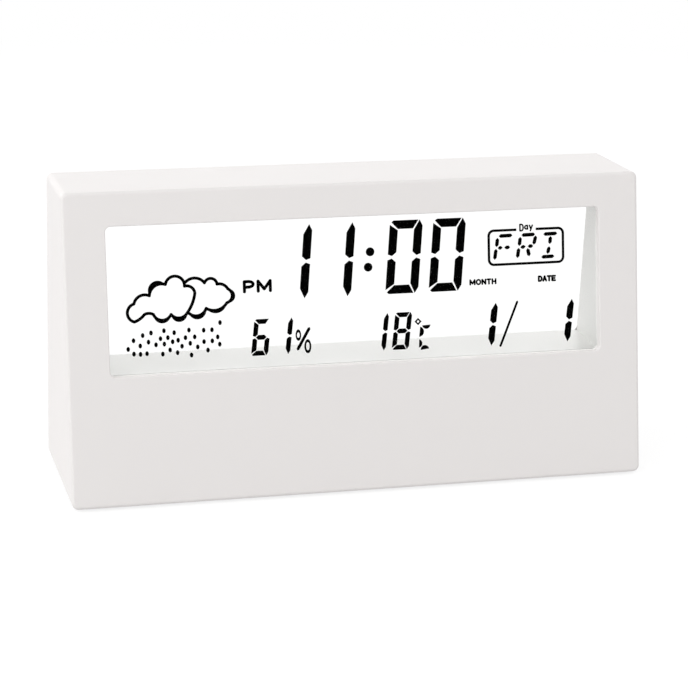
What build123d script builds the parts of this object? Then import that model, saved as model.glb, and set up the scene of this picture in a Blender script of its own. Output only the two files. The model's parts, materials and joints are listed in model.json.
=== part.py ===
from build123d import *
import math
import os

# A free-standing clock with a see-through display, a thermometer and a hygrometer.
# The side view is a wedge: the front leans back and the rear leans forward by the same angle.
# Lengths are in millimetres. The origin is under the middle of the clock, on the table,
# with +X to the viewer's right, -Y towards the viewer and +Z up.
# A height is measured up from the case's underside, a rise is measured along a leaning face
# from its lower edge, and a depth is measured square to a leaning face, into the clock.

# Case
case_width = 134.0
case_height = 70.0
case_wall = 1.8
case_corner_radius = 1.5
case_edge_radius = 0.8
lean_angle = 8.0
overrun = 1.0

# Rubber feet
foot_radius = 4.5
foot_thickness = 1.2
foot_proud = 0.6
foot_gap = 0.15
foot_inset_x = 12.0
foot_inset_y = 7.5

# Window in the front face
window_side_margin = 9.6
window_top_margin = 7.7
window_rise = 29.4
window_corner_radius = 1.2
window_edge_radius = 0.3

# Display sandwich behind the window
tape_thickness = 0.3
tape_setback = 0.4
polariser_thickness = 0.2
glass_thickness = 0.7
crystal_gap = 0.1
glass_margin = 2.4
glass_foot_margin = 3.5
contact_ledge = 3.2
seal_width = 1.2

# Light tunnel behind the display
tunnel_wall = 1.4
tunnel_floor_step = -0.26
tunnel_ceiling_step = 0.6
tunnel_side_step = 1.64
tunnel_side_draft_share = 0.065
tunnel_flange = 1.4
tunnel_joint_gap = 0.2
ear_reach = 4.6
ear_height = 5.0
frame_post_radius = 2.0
frame_post_inset = 2.4
frame_post_end_gap = 2.2

# Small screws: lengths under the head, and radii
small_screw_radius = 0.75
small_head_radius = 1.6
small_head_height = 1.0
pilot_gap = 0.05
pass_gap = 0.2
drive_width = 0.4
drive_depth = 0.5

# Rear cover and the recess in it
cover_thickness = 2.2
recess_depth = 15.1
recess_wall = 0.8
recess_corner_radius = 1.5
recess_start_step = 0.3
recess_side_flare = 5.66
recess_floor_drop = 7.15
recess_ceiling_drop = 0.82
recess_edge_radius = 0.4
lip_depth = 2.0
lip_thickness = 1.2
lip_gap = 0.15
lip_foot_margin = 2.4
tab_length = 8.0
tab_height = 0.5
tab_gap = 0.15
tab_spacing = 60.0

# Case screws
case_screw_inset = 9.0
case_screw_height = 7.0
case_screw_radius = 1.1
case_screw_length = 9.0
case_head_radius = 2.1
case_head_height = 1.2
case_head_sink = 1.5
case_post_radius = 2.9
case_boss_depth = 1.0

# Battery door and its slide
door_side_margin = 0.95
door_thickness = 1.5
door_gap = 0.25
door_tongue = 1.2
door_ledge = 0.5
door_tongue_gap = 0.15
door_ridge_count = 4
door_ridge_pitch = 2.2
door_ridge_width = 0.8
door_ridge_depth = 0.3
door_ridge_length = 16.0

# Battery cells and their tray
cell_radius = 5.25
cell_length = 44.5
cell_nub_radius = 1.9
cell_nub_length = 1.0
cell_edge_radius = 0.5
cell_pitch = 10.9
cell_count = 3
cell_rest_gap = 0.3
cell_end_gap = 0.05
cell_side_gap = 0.2
cell_roof_gap = 0.3
tray_wall = 1.2
tray_rib = 1.2
tray_end_room = 4.95
tray_flange_reach = 5.0
stake_radius = 0.9
stake_gap = 0.1
stake_proud = 0.4
stake_inset = 2.0
contact_thickness = 0.4
contact_size = 9.0
spring_reach = 2.7
spring_width = 5.0
solder_tab_width = 2.4
solder_tab_proud = 1.6
solder_tab_shift = 3.0
solder_slot_gap = 0.3

# Boards
board_thickness = 1.2
zebra_side_margin = 17.0
zebra_width = 2.2
zebra_depth = 3.3
main_board_side_margin = 12.0
main_board_top_margin = 1.3
board_tray_gap = 0.55
board_post_radius = 2.2
board_post_inset = 2.6
board_post_end_margin = 9.0
chip_radius = 4.0
chip_height = 1.2
chip_place = 14.0
crystal_length = 8.0
crystal_radius = 1.0
crystal_tray_margin = 6.95
capacitor_length = 3.2
capacitor_width = 1.6
capacitor_height = 1.4
capacitor_tray_margin = 9.95
capacitor_pitch = 4.0
capacitor_count = 3

# Buttons, key board, buzzer and sensor
button_names = ["mode_button", "set_button", "up_button", "down_button", "light_button"]
button_pitch = 12.0
button_length = 7.0
button_height = 4.4
button_proud = 1.2
button_gap = 0.3
button_edge_radius = 0.4
button_flange_margin = 1.0
button_flange_thickness = 0.8
button_flange_gap = 0.1
button_travel = 0.5
plunger_radius = 1.7
plunger_gap = 0.1
plunger_length = 2.1
switch_size = 6.0
switch_height = 3.5
switch_rest_gap = 0.4
switch_floor = 0.6
key_board_length = 100.0
key_board_height = 8.0
key_post_place = 31.5
key_post_radius = 2.0
buzzer_radius = 4.2
buzzer_height = 4.8
buzzer_place = 43.0
sound_hole_radius = 0.6
sound_ring_radius = 2.6
sound_hole_count = 6
sensor_size = 3.0
sensor_height = 1.0
vent_width = 1.1
vent_length = 7.0
vent_pitch = 2.3
vent_count = 4

# Light over the display
diffuser_length = 70.0
diffuser_width = 2.2
diffuser_proud = 0.5
diffuser_gap = 0.15
light_board_length = 80.0
light_board_width = 3.2
light_rib_length = 3.0
light_rib_height = 2.0
lamp_count = 3
lamp_pitch = 22.0
lamp_length = 3.0
lamp_width = 1.4
lamp_height = 0.9

# Wires
wire_radius = 0.5
wire_bend = 2.5
battery_wire_rise = 4.0
battery_wire_bend_share = 0.55
light_wire_inset = 2.4
light_wire_board_inset = 5.0
light_wire_strip_inset = 4.0
light_wire_side_gap = 3.2
cable_width = 8.0
cable_thickness = 0.5
cable_place = -9.0
cable_drop = 3.0
cable_arch = 2.5
cable_end_gap = 0.1

# Joint of a digit's bars at its left corners, in shares of a bar's width from the outer corner
joint_tip_shares = [(0.17, 0.2), (0.42, 0.0)]
joint_foot_share = 0.48
corner_cut_share = 0.4
corner_rest_share = 0.7

# Display figures, drawn on the window: places and widths are shares of its width, measured from
# its left edge, and rises, heights and strokes are shares of its height, from its lower edge
slant_share = 0.11
time_slant_share = 0.092
colon_slant_share = 0.155
small_slant_share = 0.125
time_height_share = 0.5
time_width_share = 0.0678
time_stroke_share = 0.059
time_split_share = 0.0085
time_rise_share = 0.456
time_place_shares = [0.333, 0.4206, 0.5588, 0.6484]
colon_radius_share = 0.03
colon_place_share = 0.5274
colon_rise_share = 0.6985
colon_pitch_share = 0.104
small_split_share = 0.0048
humidity_height_share = 0.247
humidity_width_share = 0.0342
humidity_stroke_share = 0.033
humidity_rise_share = 0.0835
humidity_place_shares = [0.2829, 0.3274]
temperature_height_share = 0.2553
temperature_width_share = 0.0352
temperature_stroke_share = 0.033
temperature_rise_share = 0.0712
temperature_place_shares = [0.5218, 0.5696]
date_height_share = 0.295
date_width_share = 0.0383
date_stroke_share = 0.0465
date_rise_share = 0.064
date_place_shares = [0.7451, 0.9068]
unit_height_share = 0.155
unit_width_share = 0.0209
unit_rise_share = 0.0775
unit_place_share = 0.6255
unit_stroke_share = 0.0205
degree_radius_share = 0.025
percent_place_share = 0.3763
percent_width_share = 0.027
slash_foot_share = 0.7962
slash_rise_share = 0.05
slash_height_share = 0.3165
slash_run_share = 0.0388
slash_stroke_share = 0.0155
weekday_place_share = 0.7735
weekday_width_share = 0.162
weekday_rise_share = 0.613
weekday_height_share = 0.2523
weekday_line_share = 0.0175
weekday_corner_share = 0.0446
weekday_gap_place_share = 0.8345
weekday_gap_width_share = 0.0409
letter_height_share = 0.167
letter_width_share = 0.0348
letter_stroke_share = 0.0255
letter_rise_share = 0.656
letter_place_shares = [0.7878, 0.8357, 0.8845]
cloud_line_share = 0.0208
front_cloud_shares = (0.0409, 0.3546, 0.134, 0.293)
rear_cloud_shares = (0.1568, 0.3766, 0.0921, 0.252)
shower_shares = (0.0401, 0.1131, 0.1829, 0.2083)
drop_width_share = 0.007
drop_height_share = 0.0335

# The foot of the case is as deep as its row of battery cells with room at both ends
tray_length = cell_length + spring_reach + 2 * contact_thickness + 2 * cell_end_gap
tray_inner_depth = (cell_count - 1) * cell_pitch + 2 * cell_radius + 2 * cell_side_gap
case_depth = tray_inner_depth + 2 * tray_wall + 2 * tray_end_room

lean_cos = math.cos(math.radians(lean_angle))
lean_sin = math.sin(math.radians(lean_angle))
lean_tan = math.tan(math.radians(lean_angle))

front_face = Plane(
    origin=(0, -case_depth / 2, foot_proud), x_dir=(1, 0, 0), z_dir=(0, -lean_cos, lean_sin)
)
rear_face = Plane(
    origin=(0, case_depth / 2, foot_proud), x_dir=(-1, 0, 0), z_dir=(0, lean_cos, lean_sin)
)

toward_viewer = Axis(front_face.origin, front_face.z_dir)
toward_wall = Axis(rear_face.origin, rear_face.z_dir)

os.makedirs("parts", exist_ok=True)


def front_y(height, depth):
    """Y of the plane that lies that depth behind the front face, at that height."""
    return -case_depth / 2 + height * lean_tan + depth / lean_cos


def rear_y(height, depth):
    """Y of the plane that lies that depth inside the rear face, at that height."""
    return case_depth / 2 - height * lean_tan - depth / lean_cos


def face_height(rise, depth):
    """Height of a point at that rise and depth in either leaning face's frame."""
    return rise * lean_cos - depth * lean_sin


def face_rise(height, depth):
    """Rise, in the nearer leaning face's frame, of a point at that height and depth."""
    return (height + depth * lean_sin) / lean_cos


def save(name, piece):
    """Labels a finished piece and writes it."""
    piece.part.label = name
    export_step(piece.part, "parts/" + name + ".step")


# Depths of the display layers behind the front face
tape_depth = case_wall
front_polariser_depth = tape_depth + tape_thickness
front_glass_depth = front_polariser_depth + polariser_thickness
crystal_depth = front_glass_depth + glass_thickness
rear_glass_depth = crystal_depth + crystal_gap
rear_polariser_depth = rear_glass_depth + glass_thickness
flange_depth = rear_polariser_depth + polariser_thickness

# Outline of the window, of the glass and of the tunnel that frames it
window_width = case_width - 2 * window_side_margin
window_height = case_height / lean_cos - window_rise - window_top_margin
glass_width = window_width + 2 * glass_margin
glass_top = window_rise + window_height + glass_margin
rear_glass_rise = window_rise - glass_foot_margin
front_glass_rise = rear_glass_rise - contact_ledge
tunnel_floor = face_height(window_rise, case_wall) + tunnel_floor_step
tunnel_ceiling = face_height(window_rise + window_height, case_wall) + tunnel_ceiling_step
tunnel_width = window_width + 2 * tunnel_side_step
tunnel_outer_width = tunnel_width + 2 * tunnel_wall

# Lengths and places that follow the case, the tray and the boards
zebra_length = case_width - 2 * zebra_side_margin
main_board_length = case_width - 2 * main_board_side_margin
board_post_spacing = main_board_length / 2 - board_post_end_margin
crystal_place = tray_length / 2 + crystal_tray_margin
capacitor_place = -tray_length / 2 - capacitor_tray_margin
light_wire_start = main_board_length / 2 - light_wire_board_inset
light_wire_end = light_board_length / 2 - light_wire_strip_inset

# Heights in the battery bay, and the boards that stand just above it
cell_height = door_thickness + cell_rest_gap + cell_radius
tray_roof = cell_height + cell_radius + cell_roof_gap
board_foot = tray_roof + tray_wall + board_tray_gap
main_board_depth = crystal_depth + zebra_depth
main_board_rise = face_rise(board_foot, main_board_depth + board_thickness)
main_board_top = rear_glass_rise + main_board_top_margin
flange_top = cover_thickness + button_flange_gap + button_flange_thickness
switch_depth = flange_top + button_travel + switch_rest_gap
key_board_depth = switch_depth + switch_height
key_board_rise = face_rise(board_foot, key_board_depth + board_thickness)
key_board_middle = key_board_rise + key_board_height / 2
button_rise = key_board_middle

# Places of the posts, the boards and the door, seen from the front or from above
frame_post_places = [
    (side * (case_width / 2 - case_wall - frame_post_inset), rise)
    for side in (-1, 1)
    for rise in (window_rise + frame_post_end_gap, window_rise + window_height - frame_post_end_gap)
]
board_post_rise = main_board_rise + board_post_inset
board_post_places = [(step * board_post_spacing, board_post_rise) for step in (-1, 0, 1)]
case_screw_places = [side * (case_width / 2 - case_screw_inset) for side in (-1, 1)]
foot_places = [
    (side * (case_width / 2 - foot_inset_x), end * (case_depth / 2 - foot_inset_y))
    for side in (-1, 1)
    for end in (-1, 1)
]
key_places = [
    (number - (len(button_names) - 1) / 2) * button_pitch for number in range(len(button_names))
]
door_width = tray_length + 2 * door_side_margin
door_front = -tray_inner_depth / 2
door_length = case_depth / 2 - door_front
stake_places = [
    (
        side * (tray_length / 2 + tray_wall + tray_flange_reach - stake_inset),
        end * (tray_inner_depth / 2 + tray_wall - stake_inset),
    )
    for side in (-1, 1)
    for end in (-1, 1)
]


def side_outline(inset, rear_inset):
    """Corners of the case's side view, drawn in by inset, and by rear_inset at the rear."""
    low = inset
    high = case_height - inset
    return [
        (front_y(low, inset), foot_proud + low),
        (front_y(high, inset), foot_proud + high),
        (rear_y(high, rear_inset), foot_proud + high),
        (rear_y(low, rear_inset), foot_proud + low),
    ]


def case_block():
    """The whole outside of the case as one solid, with its rounded edges."""
    with BuildPart() as block:
        with BuildSketch(Plane.YZ):
            with BuildLine():
                Polyline(*side_outline(0, 0), close=True)
            make_face()
        extrude(amount=case_width / 2, both=True)
        fillet(block.edges().filter_by(Axis.Y), radius=case_corner_radius)
        fillet(block.faces().sort_by(toward_viewer)[-1].edges(), radius=case_edge_radius)
        fillet(block.faces().sort_by(toward_wall)[-1].edges(), radius=case_edge_radius)
    return block.part


def door_path():
    """The room that the battery door and its two tongues slide in, out through the rear."""
    with BuildPart() as path:
        length = door_length + door_gap + overrun
        middle = door_front - door_gap + length / 2
        with Locations((0, middle, foot_proud + (door_ledge - overrun) / 2)):
            Box(door_width + 2 * door_gap, length, door_ledge + overrun)
        upper = case_wall - door_ledge
        with Locations((0, middle, foot_proud + door_ledge + upper / 2)):
            Box(door_width + 2 * door_gap + 2 * door_tongue, length, upper)
    return path.part


def recess_loft(start, end, grow):
    """A solid between two depths that follows the flared recess of the rear cover, made larger
    all round by grow."""
    front_low = face_rise(tunnel_floor - recess_start_step, recess_depth)
    front_high = face_rise(tunnel_ceiling + recess_start_step, recess_depth)
    front_half = tunnel_width / 2 + recess_start_step
    with BuildPart() as loft_block:
        for depth in (start, end):
            share = (recess_depth - depth) / recess_depth
            low = front_low - share * recess_floor_drop - grow
            high = front_high - share * recess_ceiling_drop + grow
            half = front_half + share * recess_side_flare + grow
            with BuildSketch(rear_face.offset(-depth)):
                with Locations((0, (low + high) / 2)):
                    RectangleRounded(2 * half, high - low, recess_corner_radius)
        loft(ruled=True)
    return loft_block.part


# Front case: the front, top, bottom and side walls in one shell, open at the rear seam
with BuildPart() as front_case:
    add(case_block())
    with BuildSketch(Plane.YZ):
        with BuildLine():
            Polyline(*side_outline(case_wall, -overrun), close=True)
        make_face()
    extrude(amount=case_width / 2 - case_wall, both=True, mode=Mode.SUBTRACT)
    with BuildSketch(front_face.offset(-case_wall)):
        with Locations(*frame_post_places):
            Circle(frame_post_radius)
    extrude(amount=-(flange_depth - case_wall))
    with BuildSketch(front_face.offset(-case_wall)):
        with Locations(*board_post_places):
            Circle(board_post_radius)
    extrude(amount=-(main_board_depth - case_wall))
    post_front = front_y(case_screw_height, case_wall / 2)
    with BuildSketch(Plane.XZ.offset(-case_depth / 2)):
        with Locations(*[(x, foot_proud + case_screw_height) for x in case_screw_places]):
            Circle(case_post_radius)
    extrude(amount=case_depth / 2 - post_front)
    with BuildSketch(Plane.XY.offset(foot_proud + case_wall)):
        with Locations(*stake_places):
            Circle(stake_radius)
    extrude(amount=tray_wall + stake_proud)
    split(bisect_by=rear_face.offset(-cover_thickness), keep=Keep.BOTTOM)
    boss_rear = rear_y(case_screw_height, cover_thickness)
    with BuildSketch(Plane.XZ.offset(-boss_rear - overrun)):
        with Locations(*[(x, foot_proud + case_screw_height) for x in case_screw_places]):
            Circle(case_post_radius + lip_gap)
    extrude(amount=overrun + case_boss_depth + lip_gap, mode=Mode.SUBTRACT)
    with BuildSketch(Plane.XZ.offset(-boss_rear)):
        with Locations(*[(x, foot_proud + case_screw_height) for x in case_screw_places]):
            Circle(case_screw_radius + pilot_gap)
    extrude(amount=case_screw_length + overrun, mode=Mode.SUBTRACT)
    with BuildSketch(front_face.offset(-flange_depth)):
        with Locations(*frame_post_places):
            Circle(small_screw_radius + pilot_gap)
    extrude(amount=flange_depth - case_wall, mode=Mode.SUBTRACT)
    with BuildSketch(front_face.offset(-main_board_depth)):
        with Locations(*board_post_places):
            Circle(small_screw_radius + pilot_gap)
    extrude(amount=main_board_depth - case_wall, mode=Mode.SUBTRACT)
    with BuildSketch(front_face):
        with Locations((0, window_rise + window_height / 2)):
            RectangleRounded(window_width, window_height, window_corner_radius)
    extrude(amount=case_wall + overrun, both=True, mode=Mode.SUBTRACT)
    window_edges = front_case.faces().sort_by(toward_viewer)[-1].inner_wires()[0].edges()
    fillet(window_edges, radius=window_edge_radius)
    with BuildSketch(Plane.XY.offset(foot_proud)):
        with Locations(*foot_places):
            Circle(foot_radius + foot_gap)
    extrude(amount=foot_thickness - foot_proud, mode=Mode.SUBTRACT)
    tab_top = case_height - case_wall + tab_height + tab_gap
    tab_rear = rear_y(case_height, cover_thickness)
    tab_places = [(side * tab_spacing / 2, tab_rear - lip_depth) for side in (-1, 1)]
    with Locations(*[(x, y, foot_proud + tab_top) for x, y in tab_places]):
        Box(
            tab_length + 2 * tab_gap,
            2 * lip_depth,
            2 * (tab_height + tab_gap),
            align=(Align.CENTER, Align.CENTER, Align.MAX),
            mode=Mode.SUBTRACT,
        )
    add(door_path(), mode=Mode.SUBTRACT)
save("front_case", front_case)

# Rear cover: the rear wall, its lip and the flared recess that leads to the display
with BuildPart() as rear_cover:
    add(case_block())
    split(bisect_by=rear_face.offset(-cover_thickness), keep=Keep.TOP)
    lip_width = case_width - 2 * case_wall - 2 * lip_gap
    lip_rise = face_rise(tunnel_floor, recess_depth) - recess_floor_drop + lip_foot_margin
    lip_high = face_rise(case_height - case_wall - lip_gap, cover_thickness)
    with BuildSketch(rear_face.offset(-cover_thickness)):
        with Locations((0, (lip_rise + lip_high) / 2)):
            Rectangle(lip_width, lip_high - lip_rise)
        inner_high = lip_high - lip_thickness
        with Locations((0, (lip_rise - overrun + inner_high) / 2)):
            Rectangle(lip_width - 2 * lip_thickness, inner_high - lip_rise + overrun, mode=Mode.SUBTRACT)
    extrude(amount=-lip_depth)
    tab_middle = rear_y(case_height, cover_thickness + lip_depth / 2)
    tab_low = case_height - case_wall - lip_gap - lip_thickness / 2
    with Locations(*[(side * tab_spacing / 2, tab_middle, foot_proud + tab_low) for side in (-1, 1)]):
        Box(
            tab_length,
            lip_depth / 2,
            lip_thickness / 2 + lip_gap + tab_height,
            align=(Align.CENTER, Align.CENTER, Align.MIN),
        )
    add(recess_loft(cover_thickness / 2, recess_depth, recess_wall))
    with BuildSketch(Plane.XZ.offset(-rear_y(case_screw_height, cover_thickness / 2))):
        with Locations(*[(x, foot_proud + case_screw_height) for x in case_screw_places]):
            Circle(case_post_radius)
    extrude(amount=cover_thickness / 2 + case_boss_depth)
    with BuildSketch(rear_face.offset(-cover_thickness)):
        with Locations((-key_post_place, key_board_middle), (key_post_place, key_board_middle)):
            Circle(key_post_radius)
    extrude(amount=-(key_board_depth - cover_thickness))
    add(recess_loft(-overrun, recess_depth + overrun, 0), mode=Mode.SUBTRACT)
    screw_seat = rear_y(case_screw_height, 0) - case_head_sink
    with BuildSketch(Plane.XZ.offset(-screw_seat)):
        with Locations(*[(x, foot_proud + case_screw_height) for x in case_screw_places]):
            Circle(case_head_radius + pass_gap)
    extrude(amount=-(case_head_sink + overrun), mode=Mode.SUBTRACT)
    with BuildSketch(Plane.XZ.offset(-screw_seat)):
        with Locations(*[(x, foot_proud + case_screw_height) for x in case_screw_places]):
            Circle(case_screw_radius + pass_gap)
    extrude(amount=cover_thickness + case_boss_depth + overrun, mode=Mode.SUBTRACT)
    with BuildSketch(rear_face.offset(-key_board_depth)):
        with Locations((-key_post_place, key_board_middle), (key_post_place, key_board_middle)):
            Circle(small_screw_radius + pilot_gap)
    extrude(amount=key_board_depth - cover_thickness, mode=Mode.SUBTRACT)
    with BuildSketch(rear_face.offset(overrun)):
        with Locations(*[(x, button_rise) for x in key_places]):
            RectangleRounded(
                button_length + 2 * button_gap,
                button_height + 2 * button_gap,
                button_height / 2,
            )
        with Locations((buzzer_place, button_rise)):
            Circle(sound_hole_radius)
            with PolarLocations(sound_ring_radius, sound_hole_count):
                Circle(sound_hole_radius)
        with Locations((-buzzer_place, button_rise)):
            with GridLocations(vent_pitch, vent_length, vent_count, 1):
                SlotOverall(vent_length, vent_width, rotation=90)
    extrude(amount=-(cover_thickness + 2 * overrun), mode=Mode.SUBTRACT)
    add(door_path(), mode=Mode.SUBTRACT)
    rear_rim = rear_cover.faces().sort_by(toward_wall)[-1]
    fillet(rear_rim.inner_wires().sort_by(SortBy.LENGTH)[-1].edges(), radius=recess_edge_radius)
save("rear_cover", rear_cover)

# Tunnel frame: a square tube that clamps the display and lines the view through the clock
with BuildPart() as tunnel_frame:
    tunnel_end = recess_depth + tunnel_joint_gap
    middle_height = (tunnel_floor + tunnel_ceiling) / 2
    outer_height = tunnel_ceiling - tunnel_floor + 2 * tunnel_wall
    with Locations((0, 0, foot_proud + middle_height)):
        Box(tunnel_outer_width, case_depth, outer_height)
    split(bisect_by=front_face.offset(-flange_depth), keep=Keep.BOTTOM)
    split(bisect_by=rear_face.offset(-tunnel_end), keep=Keep.BOTTOM)
    ear_width = glass_width + 2 * ear_reach
    with BuildSketch(front_face.offset(-flange_depth)):
        with Locations((0, (rear_glass_rise + glass_top) / 2)):
            Rectangle(glass_width, glass_top - rear_glass_rise)
        with Locations(*[(0, rise) for x, rise in frame_post_places if x > 0]):
            Rectangle(ear_width, ear_height)
    extrude(amount=-tunnel_flange)
    rib_height = light_rib_height
    light_y = (front_y(tunnel_ceiling, flange_depth) + rear_y(tunnel_ceiling, tunnel_end)) / 2
    rib_place = (light_board_length - light_rib_length) / 2
    rib_foot = foot_proud + tunnel_ceiling + tunnel_wall
    with Locations((-rib_place, light_y, rib_foot), (rib_place, light_y, rib_foot)):
        Box(
            light_rib_length,
            light_board_width,
            rib_height,
            align=(Align.CENTER, Align.CENTER, Align.MIN),
        )
    for end in (-1, 1):
        with BuildSketch(Plane.XZ.offset(-end * case_depth / 2)):
            with Locations((0, foot_proud + middle_height)):
                hole_width = tunnel_width + end * tunnel_side_draft_share * case_depth
                Rectangle(hole_width, tunnel_ceiling - tunnel_floor)
    loft(ruled=True, mode=Mode.SUBTRACT)
    with BuildSketch(front_face.offset(-flange_depth)):
        with Locations(*frame_post_places):
            Circle(small_screw_radius + pass_gap)
    extrude(amount=-tunnel_flange, mode=Mode.SUBTRACT)
    with Locations((0, light_y, foot_proud + tunnel_ceiling)):
        Box(
            diffuser_length + 2 * diffuser_gap,
            diffuser_width + 2 * diffuser_gap,
            2 * (tunnel_wall + overrun),
            mode=Mode.SUBTRACT,
        )
save("tunnel_frame", tunnel_frame)


def layer(name, depth, thickness, width, low, high):
    """One flat layer of the display, parallel to the front face."""
    with BuildPart() as piece:
        with BuildSketch(front_face.offset(-depth)):
            with Locations((0, (low + high) / 2)):
                Rectangle(width, high - low)
        extrude(amount=-thickness)
    save(name, piece)


def layer_ring(name, depth, thickness, width, low, high, border, foot_border, top_border):
    """A flat ring parallel to the front face, with its own border at the sides, foot and top."""
    with BuildPart() as piece:
        with BuildSketch(front_face.offset(-depth)):
            with Locations((0, (low + high) / 2)):
                Rectangle(width, high - low)
            inner_low = low + foot_border
            inner_high = high - top_border
            with Locations((0, (inner_low + inner_high) / 2)):
                Rectangle(width - 2 * border, inner_high - inner_low, mode=Mode.SUBTRACT)
        extrude(amount=-thickness)
    save(name, piece)


layer_ring(
    "display_tape",
    tape_depth,
    tape_thickness,
    glass_width,
    rear_glass_rise,
    glass_top,
    glass_margin - tape_setback,
    glass_foot_margin - tape_setback,
    glass_margin - tape_setback,
)
layer(
    "front_polariser",
    front_polariser_depth,
    polariser_thickness,
    glass_width,
    rear_glass_rise,
    glass_top,
)
layer("front_glass", front_glass_depth, glass_thickness, glass_width, front_glass_rise, glass_top)
layer_ring(
    "glass_seal",
    crystal_depth,
    crystal_gap,
    glass_width,
    rear_glass_rise,
    glass_top,
    seal_width,
    seal_width,
    seal_width,
)
layer("rear_glass", rear_glass_depth, glass_thickness, glass_width, rear_glass_rise, glass_top)
layer(
    "rear_polariser",
    rear_polariser_depth,
    polariser_thickness,
    glass_width,
    rear_glass_rise,
    glass_top,
)


def wide(share):
    """A length across the display, from its share of the window's width."""
    return share * window_width


def tall(share):
    """A length up the display, from its share of the window's height."""
    return share * window_height


def spot(across_share, up_share):
    """A place on the glass, from its shares of the window's width and height."""
    return (wide(across_share) - window_width / 2, window_rise + tall(up_share))


def slanted(points, corner, lean_share=slant_share):
    """Points drawn from a figure's lower left corner, leaned over and put on the glass."""
    return [(corner[0] + x + lean_share * y, corner[1] + y) for x, y in points]


def seven_segments(width, height, stroke, split_width):
    """The seven segments of a digit by letter, each as its corner points. The outer corners are
    cut, the ends that meet at half height are pointed, and at the left corners the level bars
    reach over the upright ones."""
    cut = corner_cut_share * stroke
    mid = height / 2
    inner = width - stroke
    top = [
        *[(across * stroke, height - down * stroke) for across, down in joint_tip_shares],
        (width - cut - split_width, height),
        (inner - split_width, height - stroke),
        (stroke, height - stroke),
    ]
    upper_right = [
        (width, height - corner_rest_share * stroke),
        (width - cut, height),
        (inner, height - stroke - split_width),
        (inner, mid + stroke / 2 + split_width / 2),
        (width - stroke / 2, mid + split_width),
        (width, mid + stroke / 3),
    ]
    middle = [
        (stroke / 2 + split_width, mid),
        (stroke + split_width, mid + stroke / 2),
        (inner - split_width, mid + stroke / 2),
        (width - stroke / 2 - split_width, mid),
        (inner - split_width, mid - stroke / 2),
        (stroke + split_width, mid - stroke / 2),
    ]
    upper_left = [
        (0, height - joint_foot_share * stroke),
        (stroke, height - stroke - split_width),
        *[(width - x, y) for x, y in upper_right[3:]],
    ]
    return {
        "a": top,
        "b": upper_right,
        "c": [(x, height - y) for x, y in upper_right],
        "d": [(x, height - y) for x, y in top],
        "e": [(x, height - y) for x, y in upper_left],
        "f": upper_left,
        "g": middle,
    }


def bar(start, end, stroke):
    """A straight segment with pointed ends, as its six corner points."""
    run = end[0] - start[0]
    climb = end[1] - start[1]
    length = math.hypot(run, climb)
    along = (run / length * stroke / 2, climb / length * stroke / 2)
    across = (-along[1], along[0])
    return [
        start,
        (start[0] + along[0] + across[0], start[1] + along[1] + across[1]),
        (end[0] - along[0] + across[0], end[1] - along[1] + across[1]),
        end,
        (end[0] - along[0] - across[0], end[1] - along[1] - across[1]),
        (start[0] + along[0] - across[0], start[1] + along[1] - across[1]),
    ]


digit_segments = {"0": "abcdef", "1": "bc", "6": "acdefg", "8": "abcdefg"}


def draw_digits(digits, place_shares, rise_share, size_shares):
    """Adds a row of digits to the sketch that is open. The size shares are the width, height,
    stroke and split of a digit, and its slant."""
    width_share, height_share, stroke_share, split_share, lean_share = size_shares
    sizes = (wide(width_share), tall(height_share), tall(stroke_share), tall(split_share))
    shapes = seven_segments(*sizes)
    for digit, place_share in zip(digits, place_shares):
        for letter in digit_segments[digit]:
            corner = spot(place_share, rise_share)
            Polygon(*slanted(shapes[letter], corner, lean_share), align=None)


def draw_bars(bar_shares, corner, width, height, stroke):
    """Adds straight segments to the sketch that is open, each from one point to another in
    shares of the figure's width and height."""
    for ends in bar_shares:
        start, end = [(across * width, up * height) for across, up in ends]
        Polygon(*slanted(bar(start, end, stroke), corner), align=None)


def draw_lens(points):
    """Adds to the sketch that is open a segment with one straight side, from the first point to
    the last, and one side that swells out through the middle point."""
    with BuildLine() as outline:
        ThreePointArc(*points)
        Line(points[-1], points[0])
    make_face(outline.edges())


crystal_face = front_face.offset(-crystal_depth)

# Time: four large digits and their colon
time_size_shares = (
    time_width_share,
    time_height_share,
    time_stroke_share,
    time_split_share,
    time_slant_share,
)
with BuildPart() as time_digits:
    with BuildSketch(crystal_face):
        draw_digits("1100", time_place_shares, time_rise_share, time_size_shares)
        for step in (-1, 1):
            lift_share = step * colon_pitch_share / 2
            lean = colon_slant_share * tall(lift_share)
            colon_x, colon_rise = spot(colon_place_share, colon_rise_share + lift_share)
            with Locations((colon_x + lean, colon_rise)):
                Circle(tall(colon_radius_share))
    extrude(amount=-crystal_gap)
save("time_digits", time_digits)

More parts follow.
